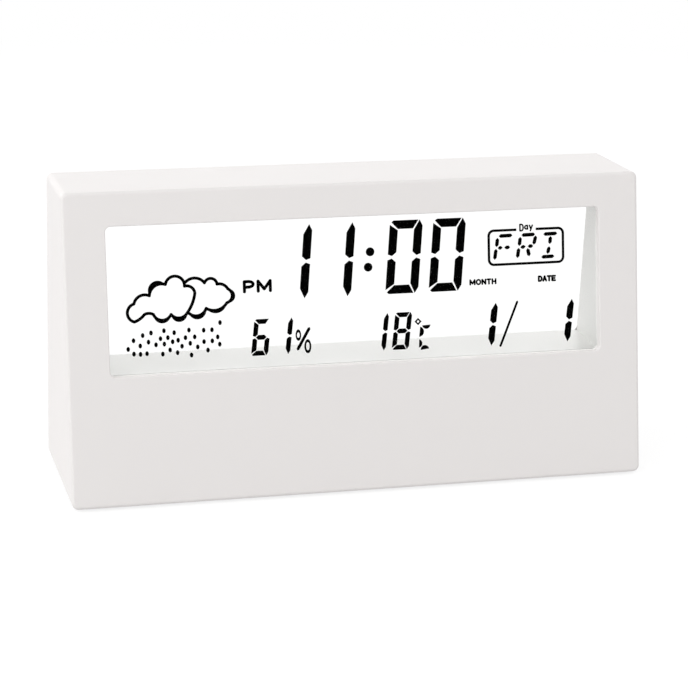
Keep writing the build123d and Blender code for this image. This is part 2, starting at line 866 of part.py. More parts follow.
# Humidity and temperature with their units. The C is four segments that swell on one side.
humidity_size_shares = (
    humidity_width_share,
    humidity_height_share,
    humidity_stroke_share,
    small_split_share,
    small_slant_share,
)
temperature_size_shares = (
    temperature_width_share,
    temperature_height_share,
    temperature_stroke_share,
    small_split_share,
    small_slant_share,
)
percent_ring_shares = [(0.12, 0.68, 0.21), (0.81, 0.14, 0.26)]
letter_c_shares = [
    ((0.17, 0.98), (0.57, 0.82), (0.98, 1.0)),
    ((-0.02, 0.93), (0.4, 0.66), (-0.03, 0.48)),
    ((0.0, 0.37), (0.34, 0.17), (0.03, 0.0)),
    ((0.24, -0.11), (0.62, 0.1), (1.05, -0.06)),
]
with BuildPart() as climate_digits:
    with BuildSketch(crystal_face):
        draw_digits("61", humidity_place_shares, humidity_rise_share, humidity_size_shares)
        draw_digits(
            "18",
            temperature_place_shares,
            temperature_rise_share,
            temperature_size_shares,
        )
        unit_corner = spot(unit_place_share, unit_rise_share)
        unit_size = (wide(unit_width_share), tall(unit_height_share))
        for lens_shares in letter_c_shares:
            lens = [(across * unit_size[0], up * unit_size[1]) for across, up in lens_shares]
            draw_lens(slanted(lens, unit_corner))
        degree_radius = tall(degree_radius_share)
        with Locations((unit_corner[0], unit_corner[1] + unit_size[1] + degree_radius)):
            RegularPolygon(degree_radius, 4, rotation=0)
            Circle(degree_radius / 3, mode=Mode.SUBTRACT)
        percent_corner = spot(percent_place_share, humidity_rise_share)
        percent_width = wide(percent_width_share)
        unit_stroke = tall(unit_stroke_share)
        slash_ends = [(0, unit_stroke), (percent_width, unit_size[1] + unit_stroke)]
        slash = [(percent_corner[0] + x, percent_corner[1] + y) for x, y in slash_ends]
        Polygon(*bar(*slash, unit_stroke), align=None)
        for across, up, size in percent_ring_shares:
            ring = size * percent_width
            ring_x = percent_corner[0] + across * percent_width
            ring_rise = percent_corner[1] + up * unit_size[1] + ring
            with Locations((ring_x, ring_rise)):
                Ellipse(ring, 2 * ring)
                Ellipse(ring / 2, 2 * ring - unit_stroke, mode=Mode.SUBTRACT)
    extrude(amount=-crystal_gap)
save("climate_digits", climate_digits)

# Month and date with the stroke between them
date_size_shares = (
    date_width_share,
    date_height_share,
    date_stroke_share,
    small_split_share,
    small_slant_share,
)
with BuildPart() as date_digits:
    with BuildSketch(crystal_face):
        draw_digits("11", date_place_shares, date_rise_share, date_size_shares)
        slash_stroke = tall(slash_stroke_share)
        foot = spot(slash_foot_share, slash_rise_share)
        head_rise_share = slash_rise_share + slash_height_share
        head = spot(slash_foot_share + slash_run_share, head_rise_share)
        Polygon(*bar(foot, head, slash_stroke), align=None)
    extrude(amount=-crystal_gap)
save("date_digits", date_digits)

# Weekday: three letters of straight segments in a rounded box whose top line has a gap
letter_bar_shares = {
    "F": [
        ((0.12, 0.97), (0.95, 0.98)),
        ((0.06, 0.9), (0.05, 0.52)),
        ((0.03, 0.45), (0.0, 0.0)),
        ((0.12, 0.48), (0.42, 0.49)),
        ((0.52, 0.49), (0.88, 0.49)),
    ],
    "R": [
        ((0.12, 0.97), (0.95, 0.98)),
        ((0.06, 0.9), (0.05, 0.52)),
        ((0.03, 0.45), (0.0, 0.03)),
        ((0.12, 0.46), (0.44, 0.5)),
        ((0.56, 0.5), (0.9, 0.5)),
        ((1.0, 0.93), (0.92, 0.55)),
        ((0.56, 0.42), (0.72, 0.08)),
    ],
    "I": [
        ((0.05, 0.97), (0.9, 0.98)),
        ((0.5, 0.88), (0.5, 0.55)),
        ((0.48, 0.46), (0.42, 0.14)),
        ((0.05, 0.03), (0.85, 0.04)),
    ],
}
with BuildPart() as weekday:
    with BuildSketch(crystal_face):
        frame_width = wide(weekday_width_share)
        frame_height = tall(weekday_height_share)
        frame_line = tall(weekday_line_share)
        frame_corner = tall(weekday_corner_share)
        frame_x, frame_rise = spot(weekday_place_share, weekday_rise_share)
        with Locations((frame_x + frame_width / 2, frame_rise + frame_height / 2)):
            RectangleRounded(frame_width, frame_height, frame_corner)
            RectangleRounded(
                frame_width - 2 * frame_line,
                frame_height - 2 * frame_line,
                frame_corner - frame_line,
                mode=Mode.SUBTRACT,
            )
        gap_width = wide(weekday_gap_width_share)
        gap_x = spot(weekday_gap_place_share, weekday_rise_share)[0] + gap_width / 2
        with Locations((gap_x, frame_rise + frame_height)):
            Rectangle(gap_width, 4 * frame_line, mode=Mode.SUBTRACT)
        letter_size = (wide(letter_width_share), tall(letter_height_share), tall(letter_stroke_share))
        for letter, place_share in zip("FRI", letter_place_shares):
            draw_bars(letter_bar_shares[letter], spot(place_share, letter_rise_share), *letter_size)
    extrude(amount=-crystal_gap)
save("weekday", weekday)

# Weather sign: a cloud before another cloud, and a shower of drops under them.
# A cloud is a chain of arcs. Each is written as the notch that it starts from, its crest, and
# how far the crest of its thicker, shaded side lies beyond that, in line widths.
front_lobe_shares = [
    ((0.1, 0.41), (0.0, 0.21), 0),
    ((0.1, 0.0), (0.18, 0.06), 0),
    ((0.25, 0.16), (0.31, 0.18), 0),
    ((0.38, 0.15), (0.49, 0.01), 1.0),
    ((0.64, 0.13), (0.76, 0.04), 1.3),
    ((0.88, 0.15), (0.95, 0.33), 0),
    ((1.0, 0.59), (0.95, 0.73), 0),
    ((0.85, 0.76), (0.71, 1.0), 0.2),
    ((0.57, 0.82), (0.43, 0.81), 1.4),
    ((0.33, 0.58), (0.2, 0.59), 0.4),
]
rear_lobe_shares = [
    ((0.0, 0.9), (0.19, 1.0), 0.3),
    ((0.41, 0.86), (0.55, 0.97), 0),
    ((0.68, 0.81), (0.81, 0.79), 0.2),
    ((0.91, 0.67), (1.0, 0.49), 1.0),
    ((0.88, 0.3), (0.7, 0.13), 1.0),
    ((0.43, 0.18), (0.27, 0.0), 1.2),
    ((0.05, 0.08), None, 0),
]
drop_shares = [
    (1.0, 1.0), (0.39, 0.83), (0.66, 0.81), (0.82, 0.78), (0.91, 0.78), (0.25, 0.78),
    (0.5, 0.75), (0.16, 0.71), (0.72, 0.58), (0.97, 0.54), (0.62, 0.57), (0.43, 0.6),
    (0.35, 0.58), (0.54, 0.5), (0.06, 0.56), (0.91, 0.42), (0.48, 0.46), (0.82, 0.41),
    (0.22, 0.49), (0.39, 0.4), (0.67, 0.38), (0.3, 0.39), (0.99, 0.3), (0.13, 0.38),
    (0.58, 0.3), (0.75, 0.25), (0.0, 0.29), (0.45, 0.2), (0.86, 0.13), (0.53, 0.1),
    (0.06, 0.13), (0.13, 0.11), (0.2, 0.12), (0.37, 0.08), (0.68, 0.0),
]


def inside(box_shares, share):
    """A place on the glass, from its shares of a box that is itself in shares of the window."""
    place_share, rise_share, width_share, height_share = box_shares
    return spot(place_share + share[0] * width_share, rise_share + share[1] * height_share)


def draw_cloud(lobe_shares, box_shares, line):
    """Adds a cloud to the sketch that is open: a line along each arc, a dot on each notch, and a
    crescent where an arc is shaded."""
    notches = [inside(box_shares, notch) for notch, crest, shade in lobe_shares]
    following = notches[1:] + notches[:1]
    for notch, end, (_, crest_share, shade) in zip(notches, following, lobe_shares):
        with Locations(notch):
            Circle(line / 2)
        if crest_share is None:
            continue
        crest = inside(box_shares, crest_share)
        with BuildLine() as arc:
            ThreePointArc(notch, crest, end)
        trace(arc.edges(), line_width=line)
        if shade:
            middle = ((notch[0] + end[0]) / 2, (notch[1] + end[1]) / 2)
            away = math.hypot(crest[0] - middle[0], crest[1] - middle[1])
            push = 1 + shade * line / away
            peak = tuple(m + (c - m) * push for c, m in zip(crest, middle))
            with BuildLine() as crescent:
                ThreePointArc(notch, peak, end)
                ThreePointArc(end, crest, notch)
            make_face(crescent.edges())


with BuildPart() as weather_sign:
    with BuildSketch(crystal_face):
        cloud_line = tall(cloud_line_share)
        draw_cloud(front_lobe_shares, front_cloud_shares, cloud_line)
        draw_cloud(rear_lobe_shares, rear_cloud_shares, cloud_line)
        with Locations(*[inside(shower_shares, share) for share in drop_shares]):
            Ellipse(wide(drop_width_share) / 2, tall(drop_height_share) / 2)
    extrude(amount=-crystal_gap)
save("weather_sign", weather_sign)

# Zebra strip: the rubber connector between the glass ledge and the main board
with BuildPart() as zebra_strip:
    with BuildSketch(crystal_face):
        with Locations((0, front_glass_rise + contact_ledge / 2)):
            Rectangle(zebra_length, zebra_width)
    extrude(amount=-zebra_depth)
save("zebra_strip", zebra_strip)


def board(name, plane, length, low, height, holes):
    """A flat circuit board with its front on the given plane and screw holes through it."""
    with BuildPart() as piece:
        with BuildSketch(plane):
            with Locations((0, low + height / 2)):
                Rectangle(length, height)
            with Locations(*holes):
                Circle(small_screw_radius + pass_gap, mode=Mode.SUBTRACT)
        extrude(amount=-board_thickness)
    save(name, piece)


board(
    "main_board",
    front_face.offset(-main_board_depth),
    main_board_length,
    main_board_rise,
    main_board_top - main_board_rise,
    board_post_places,
)
key_post_places = [(side * key_post_place, key_board_middle) for side in (-1, 1)]
board(
    "key_board",
    rear_face.offset(-key_board_depth),
    key_board_length,
    key_board_rise,
    key_board_height,
    key_post_places,
)


def screw_set(name, plane, places, head_radius, head_height, radius, length):
    """Identical screws whose heads stand on the plane's outer side, with a slot for a driver."""
    with BuildPart() as screws:
        with BuildSketch(plane):
            with Locations(*places):
                Circle(head_radius)
        extrude(amount=head_height)
        with BuildSketch(plane):
            with Locations(*places):
                Circle(radius)
        extrude(amount=-length)
        with BuildSketch(plane.offset(head_height)):
            with Locations(*places):
                Rectangle(1.2 * head_radius, drive_width)
                Rectangle(drive_width, 1.2 * head_radius)
        extrude(amount=-drive_depth, mode=Mode.SUBTRACT)
    save(name, screws)


def turned(plane):
    """The same place seen from behind: the plane's outer side becomes its inner side."""
    return Plane(origin=plane.origin, x_dir=plane.x_dir, z_dir=-plane.z_dir)


def turned_places(places):
    """Places on a plane as they read once it has been turned."""
    return [(x, -rise) for x, rise in places]


frame_screw_length = flange_depth + tunnel_flange - case_wall
screw_set(
    "frame_screws",
    turned(front_face.offset(-flange_depth - tunnel_flange)),
    turned_places(frame_post_places),
    small_head_radius,
    small_head_height,
    small_screw_radius,
    frame_screw_length,
)
board_screw_length = board_thickness + (main_board_depth - case_wall) / 2
screw_set(
    "board_screws",
    turned(front_face.offset(-main_board_depth - board_thickness)),
    turned_places(board_post_places),
    small_head_radius,
    small_head_height,
    small_screw_radius,
    board_screw_length,
)
screw_set(
    "key_board_screws",
    turned(rear_face.offset(-key_board_depth - board_thickness)),
    turned_places(key_post_places),
    small_head_radius,
    small_head_height,
    small_screw_radius,
    board_screw_length,
)
screw_set(
    "case_screws",
    Plane(origin=(0, screw_seat, foot_proud), x_dir=(-1, 0, 0), z_dir=(0, 1, 0)),
    [(x, case_screw_height) for x in case_screw_places],
    case_head_radius,
    case_head_height,
    case_screw_radius,
    case_screw_length,
)

# Parts on the rear side of the main board
main_board_rear = turned(front_face.offset(-main_board_depth - board_thickness))
chip_rise = (main_board_rise + main_board_top) / 2
with BuildPart() as chip_cover:
    with BuildSketch(main_board_rear):
        with Locations((chip_place, -chip_rise)):
            Circle(chip_radius)
    extrude(amount=chip_height)
    dome_edge = chip_cover.faces().sort_by(Axis.Y)[-1].edges()
    fillet(dome_edge, radius=0.8 * chip_height)
save("chip_cover", chip_cover)

with BuildPart() as clock_crystal:
    crystal_y = front_y(face_height(chip_rise, main_board_depth), main_board_depth + board_thickness)
    crystal_z = foot_proud + face_height(chip_rise, main_board_depth + board_thickness)
    crystal_seat = Plane(
        origin=(crystal_place, crystal_y + crystal_radius / lean_cos, crystal_z),
        x_dir=(0, 1, 0),
        z_dir=(1, 0, 0),
    )
    with BuildSketch(crystal_seat):
        Circle(crystal_radius)
    extrude(amount=crystal_length / 2, both=True)
    fillet(clock_crystal.faces().sort_by(Axis.X)[-1].edges(), radius=crystal_radius / 3)
save("clock_crystal", clock_crystal)

with BuildPart() as capacitors:
    with BuildSketch(main_board_rear):
        for number in range(capacitor_count):
            with Locations((capacitor_place + number * capacitor_pitch, -chip_rise)):
                Rectangle(capacitor_width, capacitor_length)
    extrude(amount=capacitor_height)
save("capacitors", capacitors)


def button(name, place):
    """A rear button with the flange that keeps it in, and the switch plunger behind it."""
    with BuildPart() as cap:
        with BuildSketch(rear_face.offset(button_proud)):
            with Locations((place, button_rise)):
                SlotOverall(button_length, button_height)
        extrude(amount=-(button_proud + cover_thickness + button_flange_gap))
        fillet(cap.faces().sort_by(Axis.Y)[-1].edges(), radius=button_edge_radius)
        with BuildSketch(rear_face.offset(-cover_thickness - button_flange_gap)):
            with Locations((place, button_rise)):
                SlotOverall(
                    button_length + 2 * button_flange_margin,
                    button_height + 2 * button_flange_margin,
                )
        extrude(amount=-button_flange_thickness)
    save(name, cap)
    with BuildPart() as plunger:
        with BuildSketch(rear_face.offset(-flange_top)):
            with Locations((place, button_rise)):
                Circle(plunger_radius)
        extrude(amount=-plunger_length)
    save(name.replace("button", "plunger"), plunger)


for name, place in zip(button_names, key_places):
    button(name, place)

# Switch housings, one behind each button, each with a well for its plunger
with BuildPart() as key_switches:
    with BuildSketch(rear_face.offset(-switch_depth)):
        with Locations(*[(x, button_rise) for x in key_places]):
            Rectangle(switch_size, switch_size)
    extrude(amount=-switch_height)
    with BuildSketch(rear_face.offset(-switch_depth)):
        with Locations(*[(x, button_rise) for x in key_places]):
            Circle(plunger_radius + plunger_gap)
    extrude(amount=-(switch_height - switch_floor), mode=Mode.SUBTRACT)
save("key_switches", key_switches)

with BuildPart() as buzzer:
    with BuildSketch(rear_face.offset(-key_board_depth)):
        with Locations((buzzer_place, button_rise)):
            Circle(buzzer_radius)
    extrude(amount=buzzer_height)
    with BuildSketch(rear_face.offset(-key_board_depth + buzzer_height)):
        with Locations((buzzer_place, button_rise)):
            Circle(sound_hole_radius)
    extrude(amount=-buzzer_height / 2, mode=Mode.SUBTRACT)
save("buzzer", buzzer)

with BuildPart() as climate_sensor:
    with BuildSketch(rear_face.offset(-key_board_depth)):
        with Locations((-buzzer_place, button_rise)):
            Rectangle(sensor_size, sensor_size)
    extrude(amount=sensor_height)
    with BuildSketch(rear_face.offset(-key_board_depth + sensor_height)):
        with Locations((-buzzer_place, button_rise)):
            Circle(sensor_size / 5)
    extrude(amount=-sensor_height / 3, mode=Mode.SUBTRACT)
save("climate_sensor", climate_sensor)

# Light over the display: a clear bar in the tunnel's ceiling, lamps on a strip board above it
lamp_foot = foot_proud + tunnel_ceiling + tunnel_wall + light_rib_height
with BuildPart() as light_diffuser:
    with Locations((0, light_y, foot_proud + tunnel_ceiling)):
        Box(
            diffuser_length,
            diffuser_width,
            tunnel_wall + diffuser_proud,
            align=(Align.CENTER, Align.CENTER, Align.MIN),
        )
save("light_diffuser", light_diffuser)

with BuildPart() as light_board:
    with Locations((0, light_y, lamp_foot)):
        Box(
            light_board_length,
            light_board_width,
            board_thickness / 2,
            align=(Align.CENTER, Align.CENTER, Align.MIN),
        )
save("light_board", light_board)

with BuildPart() as lamps:
    for number in range(lamp_count):
        lamp_x = (number - (lamp_count - 1) / 2) * lamp_pitch
        with Locations((lamp_x, light_y, lamp_foot)):
            Box(
                lamp_length,
                lamp_width,
                lamp_height,
                align=(Align.CENTER, Align.CENTER, Align.MAX),
            )
save("lamps", lamps)

# Battery tray: a bay over the door, held on four stakes of the case floor
with BuildPart() as battery_tray:
    tray_foot = foot_proud + case_wall
    tray_top = foot_proud + tray_roof + tray_wall
    outer_length = tray_length + 2 * tray_wall
    outer_depth = tray_inner_depth + 2 * tray_wall
    with Locations((0, 0, tray_foot)):
        Box(
            outer_length,
            outer_depth,
            tray_top - tray_foot,
            align=(Align.CENTER, Align.CENTER, Align.MIN),
        )
        Box(
            outer_length + 2 * tray_flange_reach,
            outer_depth,
            tray_wall,
            align=(Align.CENTER, Align.CENTER, Align.MIN),
        )
        Box(
            tray_length,
            tray_inner_depth,
            foot_proud + tray_roof - tray_foot,
            align=(Align.CENTER, Align.CENTER, Align.MIN),
            mode=Mode.SUBTRACT,
        )
    rib_reach = cell_radius / 3
    for step in (-1, 1):
        with Locations((0, step * cell_pitch / 2, foot_proud + tray_roof)):
            Box(
                tray_length - 2 * contact_thickness - 2 * spring_reach,
                tray_rib,
                rib_reach,
                align=(Align.CENTER, Align.CENTER, Align.MAX),
            )
    with Locations(*[(x, y, tray_foot) for x, y in stake_places]):
        Cylinder(stake_radius + stake_gap, 2 * (tray_wall + overrun), mode=Mode.SUBTRACT)
    tab_x = (tray_length - contact_thickness) / 2
    tab_y = (cell_count - 1) / 2 * cell_pitch - solder_tab_shift
    with Locations((tab_x, -tab_y, tray_top), (-tab_x, tab_y, tray_top)):
        Box(
            contact_thickness + 2 * solder_slot_gap,
            solder_tab_width + 2 * solder_slot_gap,
            2 * (tray_wall + overrun),
            mode=Mode.SUBTRACT,
        )
save("battery_tray", battery_tray)


def cell(name, y, heading):
    """A battery cell lying along X, with its nub towards heading."""
    end_x = heading * (tray_length / 2 - contact_thickness - cell_end_gap)
    with BuildPart() as piece:
        nub_end = Plane(
            origin=(end_x, y, foot_proud + cell_height), x_dir=(0, 1, 0), z_dir=(-heading, 0, 0)
        )
        with BuildSketch(nub_end.offset(cell_nub_length)):
            Circle(cell_radius)
        extrude(amount=cell_length - cell_nub_length)
        fillet(piece.edges().filter_by(GeomType.CIRCLE), radius=cell_edge_radius)
        with BuildSketch(nub_end):
            Circle(cell_nub_radius)
        extrude(amount=2 * cell_nub_length)
    save(name, piece)


cell_rows = [(number - (cell_count - 1) / 2) * cell_pitch for number in range(cell_count)]
for number, row in enumerate(cell_rows):
    cell("battery_cell_" + str(number + 1), row, 1 - 2 * (number % 2))


def contact(name, side, plate_rows, spring_row, tab_row):
    """A contact against one end wall of the tray. It has a plate behind each cell that it
    meets, a bent leaf against the flat end of a cell, and a solder tab where a wire starts."""
    wall_x = side * tray_length / 2
    plate_z = foot_proud + cell_height
    low = min(plate_rows) - contact_size / 2
    high = max(plate_rows) + contact_size / 2
    with BuildPart() as piece:
        with Locations((wall_x - side * contact_thickness / 2, (low + high) / 2, plate_z)):
            Box(contact_thickness, high - low, contact_size)
        if spring_row is not None:
            inward = -side
            with BuildSketch(Plane.XZ.offset(-spring_row - spring_width / 2)):
                with BuildLine():
                    Polyline(
                        *[
                            (
                                wall_x + inward * (contact_thickness / 2 + reach * spring_reach),
                                plate_z + climb * contact_size,
                            )
                            for reach, climb in leaf_shares
                        ]
                    )
                trace(line_width=contact_thickness)
            extrude(amount=spring_width)
        if tab_row is not None:
            tab_height_total = tray_top + solder_tab_proud - plate_z
            with Locations((wall_x - side * contact_thickness / 2, tab_row, plate_z)):
                Box(
                    contact_thickness,
                    solder_tab_width,
                    tab_height_total,
                    align=(Align.CENTER, Align.CENTER, Align.MIN),
                )
    save(name, piece)


leaf_shares = [(0.0, -0.42), (0.9, 0.05), (0.55, 0.4)]
contact("positive_contact", 1, cell_rows[:1], None, -tab_y)
contact("left_link", -1, cell_rows[:2], cell_rows[0], None)
contact("right_link", 1, cell_rows[1:], cell_rows[1], None)
contact("negative_contact", -1, cell_rows[2:], cell_rows[2], tab_y)

# Battery door: slides out to the rear on two tongues
with BuildPart() as battery_door:
    door_middle = door_front + door_length / 2
    with Locations((0, door_middle, foot_proud)):
        Box(door_width, door_length, door_thickness, align=(Align.CENTER, Align.CENTER, Align.MIN))
    tongue_foot = door_ledge + door_tongue_gap
    with Locations((0, door_middle, foot_proud + tongue_foot)):
        Box(
            door_width + 2 * door_tongue,
            door_length,
            door_thickness - tongue_foot,
            align=(Align.CENTER, Align.CENTER, Align.MIN),
        )
    ridge_start = door_front + door_length / 2
    for number in range(door_ridge_count):
        with Locations((0, ridge_start + number * door_ridge_pitch, foot_proud)):
            Box(
                door_ridge_length,
                door_ridge_width,
                2 * door_ridge_depth,
                mode=Mode.SUBTRACT,
            )
    add(case_block(), mode=Mode.INTERSECT)
save("battery_door", battery_door)

with BuildPart() as feet:
    with BuildSketch():
        with Locations(*foot_places):
            Circle(foot_radius)
    extrude(amount=foot_thickness)
save("feet", feet)


def wire(name, points, radius):
    """A round wire along straight runs that are joined by arcs of the given radius."""
    with BuildPart() as piece:
        with BuildLine() as path:
            FilletPolyline(*points, radius=radius)
        with BuildSketch(Plane(origin=path.line @ 0, z_dir=path.line % 0)):
            Circle(wire_radius)
        sweep(path=path.wires()[0])
    save(name, piece)


tab_end = tray_top + solder_tab_proud
wire_level = tab_end + battery_wire_rise
wire_end = front_y(wire_level - foot_proud, main_board_depth + board_thickness) + cable_end_gap
for name, x, y in (("positive_wire", tab_x, -tab_y), ("negative_wire", -tab_x, tab_y)):
    wire(
        name,
        [(x, y, tab_end), (x, y, wire_level), (x, wire_end, wire_level)],
        battery_wire_bend_share * min(battery_wire_rise, y - wire_end),
    )

# Light wire: from the main board, up beside the tunnel and over to the strip board
wire_depth = main_board_depth + board_thickness + wire_radius
side_x = case_width / 2 - case_wall - light_wire_side_gap
low_height = face_height(main_board_top - light_wire_inset, wire_depth)
high_height = lamp_foot - foot_proud + board_thickness / 2 + wire_radius
wire(
    "light_wire",
    [
        (light_wire_start, front_y(low_height, wire_depth), foot_proud + low_height),
        (side_x, front_y(low_height, wire_depth), foot_proud + low_height),
        (side_x, front_y(high_height, wire_depth), foot_proud + high_height),
        (light_wire_end, light_y, foot_proud + high_height),
    ],
    wire_bend,
)

# Board cable: a flat ribbon that arches from the key board to the main board
with BuildPart() as board_cable:
    cable_height = face_height(main_board_top - cable_drop, main_board_depth) - cable_arch
    front_end = front_y(cable_height, main_board_depth + board_thickness) + cable_end_gap
    rear_end = rear_y(cable_height, key_board_depth + board_thickness) - cable_end_gap
    middle_y = (front_end + rear_end) / 2
    low_z = foot_proud + cable_height
    with BuildSketch(Plane.YZ.offset(cable_place)):
        with BuildLine():
            ThreePointArc((front_end, low_z), (middle_y, low_z + cable_arch), (rear_end, low_z))
            Line((rear_end, low_z), (rear_end, low_z + cable_thickness))
            ThreePointArc(
                (rear_end, low_z + cable_thickness),
                (middle_y, low_z + cable_arch + cable_thickness),
                (front_end, low_z + cable_thickness),
            )
            Line((front_end, low_z + cable_thickness), (front_end, low_z))
        make_face()
    extrude(amount=cable_width / 2, both=True)
save("board_cable", board_cable)
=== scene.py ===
"""Looks of a see-through desk clock: an add-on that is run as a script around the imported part."""
import json
import math

import bmesh
import bpy
import numpy as np
from bpy.props import FloatProperty, FloatVectorProperty, PointerProperty
from mathutils import Matrix, Vector


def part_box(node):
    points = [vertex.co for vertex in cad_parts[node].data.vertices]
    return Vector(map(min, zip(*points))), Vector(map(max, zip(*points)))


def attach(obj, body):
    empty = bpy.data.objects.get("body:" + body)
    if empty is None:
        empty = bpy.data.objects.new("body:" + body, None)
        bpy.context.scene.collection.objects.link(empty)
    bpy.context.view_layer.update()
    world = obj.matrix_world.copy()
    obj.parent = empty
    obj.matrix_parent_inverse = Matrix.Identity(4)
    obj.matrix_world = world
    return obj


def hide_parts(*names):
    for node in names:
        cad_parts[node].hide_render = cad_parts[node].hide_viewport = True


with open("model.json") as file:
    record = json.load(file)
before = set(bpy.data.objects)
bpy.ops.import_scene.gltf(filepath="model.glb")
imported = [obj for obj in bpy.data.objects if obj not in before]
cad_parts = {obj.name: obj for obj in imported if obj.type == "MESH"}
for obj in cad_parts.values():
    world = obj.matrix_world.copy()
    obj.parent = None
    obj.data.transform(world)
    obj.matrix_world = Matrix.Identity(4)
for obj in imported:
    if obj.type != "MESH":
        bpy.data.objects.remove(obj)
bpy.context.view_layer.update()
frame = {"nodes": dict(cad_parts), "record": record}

bl_info = {
    "name": "Desk clock looks",
    "version": (1, 0, 0),
    "blender": (4, 5, 0),
    "location": "View3D > Sidebar > Desk clock",
    "description": "Finishes, display panes, lettering and studio of a see-through desk clock",
    "category": "Object",
}

MM = 0.001

# The leaning faces, in millimetres: each has its foot, and every rise is measured up the face
LEAN = math.radians(8.0)
FACE_FOOT_Y = 22.5
FACE_FOOT_Z = 0.6

# The window in the leaning front, in millimetres, and the tape behind its edge
WINDOW_HALF_WIDTH = 57.4
WINDOW_LOW = 29.4
WINDOW_HIGH = 62.988
WINDOW_CORNER = 1.2
TAPE_SETBACK = 0.4
LIP_RISE = 0.24

# Depths of the display's layers behind the front face, in millimetres
TAPE_DEPTH = 1.8
POLARISER_DEPTH = 2.1
GLASS_DEPTH = 2.3
CRYSTAL_DEPTH = 3.0
REAR_GLASS_DEPTH = 3.1
REAR_POLARISER_DEPTH = 3.8
DISPLAY_END_DEPTH = 4.0
PANE_GAP = 0.01
PANE_CORNER = 0.25

# Gloss of the plastics: the case is matt, and the tunnel behind the display is satin
PLASTIC_IOR = 1.49
MATTE_SPECULAR = 0.28
SATIN_SPECULAR = 1.0

# How many points a rounded corner, a bent stroke and a stroke's round end take
CORNER_POINTS = 6
ARC_POINTS = 11
END_POINTS = 7
MERGE_DISTANCE = 1e-6

# Words in the display: text, stroke, and the box's left, right, foot and top up the front face, in mm
DISPLAY_WORDS = {
    "word_pm": ("PM", 0.72, (-26.34, -19.65, 46.5, 49.5)),
    "word_month": ("MONTH", 0.4, (26.87, 33.4, 45.75, 47.2)),
    "word_date": ("DATE", 0.46, (43.45, 47.89, 45.8, 47.3)),
    "word_day": ("Day", 0.36, (39.1, 42.46, 57.7, 59.54)),
}

# Words under the keys: text, the key's place to the left as seen from behind, and width, in mm
KEY_LABELS = {
    "label_mode": ("MODE", 24.0, 5.4),
    "label_set": ("SET", 12.0, 3.6),
    "label_light": ("LIGHT", -24.0, 5.2),
}
LABEL_TOP = 16.2
LABEL_STROKE = 0.28
LABEL_ROOT = 0.05
DOWN_KEY_X = 12.0

# The arrow on the battery door, in mm: half widths, then places along it towards its tip
ARROW_SHAFT = 0.9
ARROW_HEAD = 2.6
ARROW_TAIL = -4.0
ARROW_NECK = -0.5
ARROW_TIP = 3.0

# How much darker and smoother the keys, the tunnel and the door's sign are than the case
KEY_SHADE = 0.94
KEY_SMOOTHER = 0.08
TUNNEL_SMOOTHER = 0.12
DOOR_SIGN_SHADE = 0.97
DOOR_SIGN_SMOOTHER = 0.1

# Soft parts and inner plastics: colour, roughness, grain and its depth in mm, drift of the colour
FOOT_RUBBER = ((0.045, 0.045, 0.048), 0.72, 0.5, 0.03, 0.15)
SEAL = ((0.55, 0.56, 0.54), 0.4, 0.2, 0.004, 0.05)
TAPE = ((0.93, 0.93, 0.91), 0.6, 0.15, 0.01, 0.04)
INNER_PLASTICS = {
    "silicone": ((0.34, 0.42, 0.52), 0.6, 0.2, 0.01, 0.1),
    "black_epoxy": ((0.012, 0.012, 0.013), 0.22, 1.5, 0.03, 0.2),
    "black_plastic": ((0.02, 0.02, 0.021), 0.4, 0.25, 0.01, 0.15),
    "capacitor_ceramic": ((0.34, 0.24, 0.15), 0.35, 0.4, 0.01, 0.1),
    "wire_white": ((0.7, 0.7, 0.69), 0.35, 0.6, 0.01, 0.05),
    "wire_red": ((0.5, 0.018, 0.015), 0.35, 0.6, 0.01, 0.08),
    "wire_black": ((0.014, 0.014, 0.015), 0.35, 0.6, 0.01, 0.08),
}

# Finishes of the metals: colour, roughness, and how the drawn lines are stretched along x, y and z
METALS = {
    "screw_steel": ((0.56, 0.56, 0.55), 0.3, (1.0, 1.0, 1.0)),
    "contact_steel": ((0.63, 0.62, 0.58), 0.22, (1.0, 0.2, 1.0)),
    "component_metal": ((0.6, 0.6, 0.61), 0.2, (0.2, 1.0, 1.0)),
}
LIGHT_PARTS = {
    "lamp_plastic": (0.85, 0.78, 0.42),
    "light_plastic": (0.88, 0.89, 0.88),
}
BOARD_MASK = (0.012, 0.11, 0.035)
BOARD_METAL = (0.66, 0.64, 0.6)
RIBBON_COLOUR = (0.7, 0.71, 0.72)
# Painted shade: the darker colour that the grooves between the ribbon's cores get
RIBBON_GROOVE_SHADE = (0.42, 0.43, 0.45)
RIBBON_PITCH = 1.0
CAN_COLOUR = (0.6, 0.6, 0.58)

# The camera's film width in millimetres and the near and far ends of its view in metres
FILM_WIDTH = 36.0
VIEW_NEAR = 0.01
VIEW_FAR = 50.0

# The studio, in metres
KEY_LAMP_PLACE = (-0.97, -0.24, 0.67)
FILL_LAMP_PLACE = (0.18, -0.9, 0.77)
BACK_LAMP_PLACE = (0.1, 1.1, 0.48)
CLOCK_MIDDLE = (0.0, 0.0, 0.035)
LAMP_WIDTH = 2.0
LAMP_HEIGHT = 1.0
FLOOR_REACH = 3.0
FLOOR_LINES = 13
FLOOR_PALE_FROM = 0.25
FLOOR_FADE = 0.5
FLOOR_SHADE = 0.25
FLOOR_TONES = (0.79, 0.81)
WHITE = (1.0, 1.0, 1.0, 1.0)


def front_place(x, rise, depth):
    """Points of the leaning front, in metres: up the face by rise, then straight into it by depth."""
    y = -FACE_FOOT_Y + rise * math.sin(LEAN) + depth * math.cos(LEAN)
    z = FACE_FOOT_Z + rise * math.cos(LEAN) - depth * math.sin(LEAN)
    return np.stack(np.broadcast_arrays(x, y, z), axis=-1) * MM


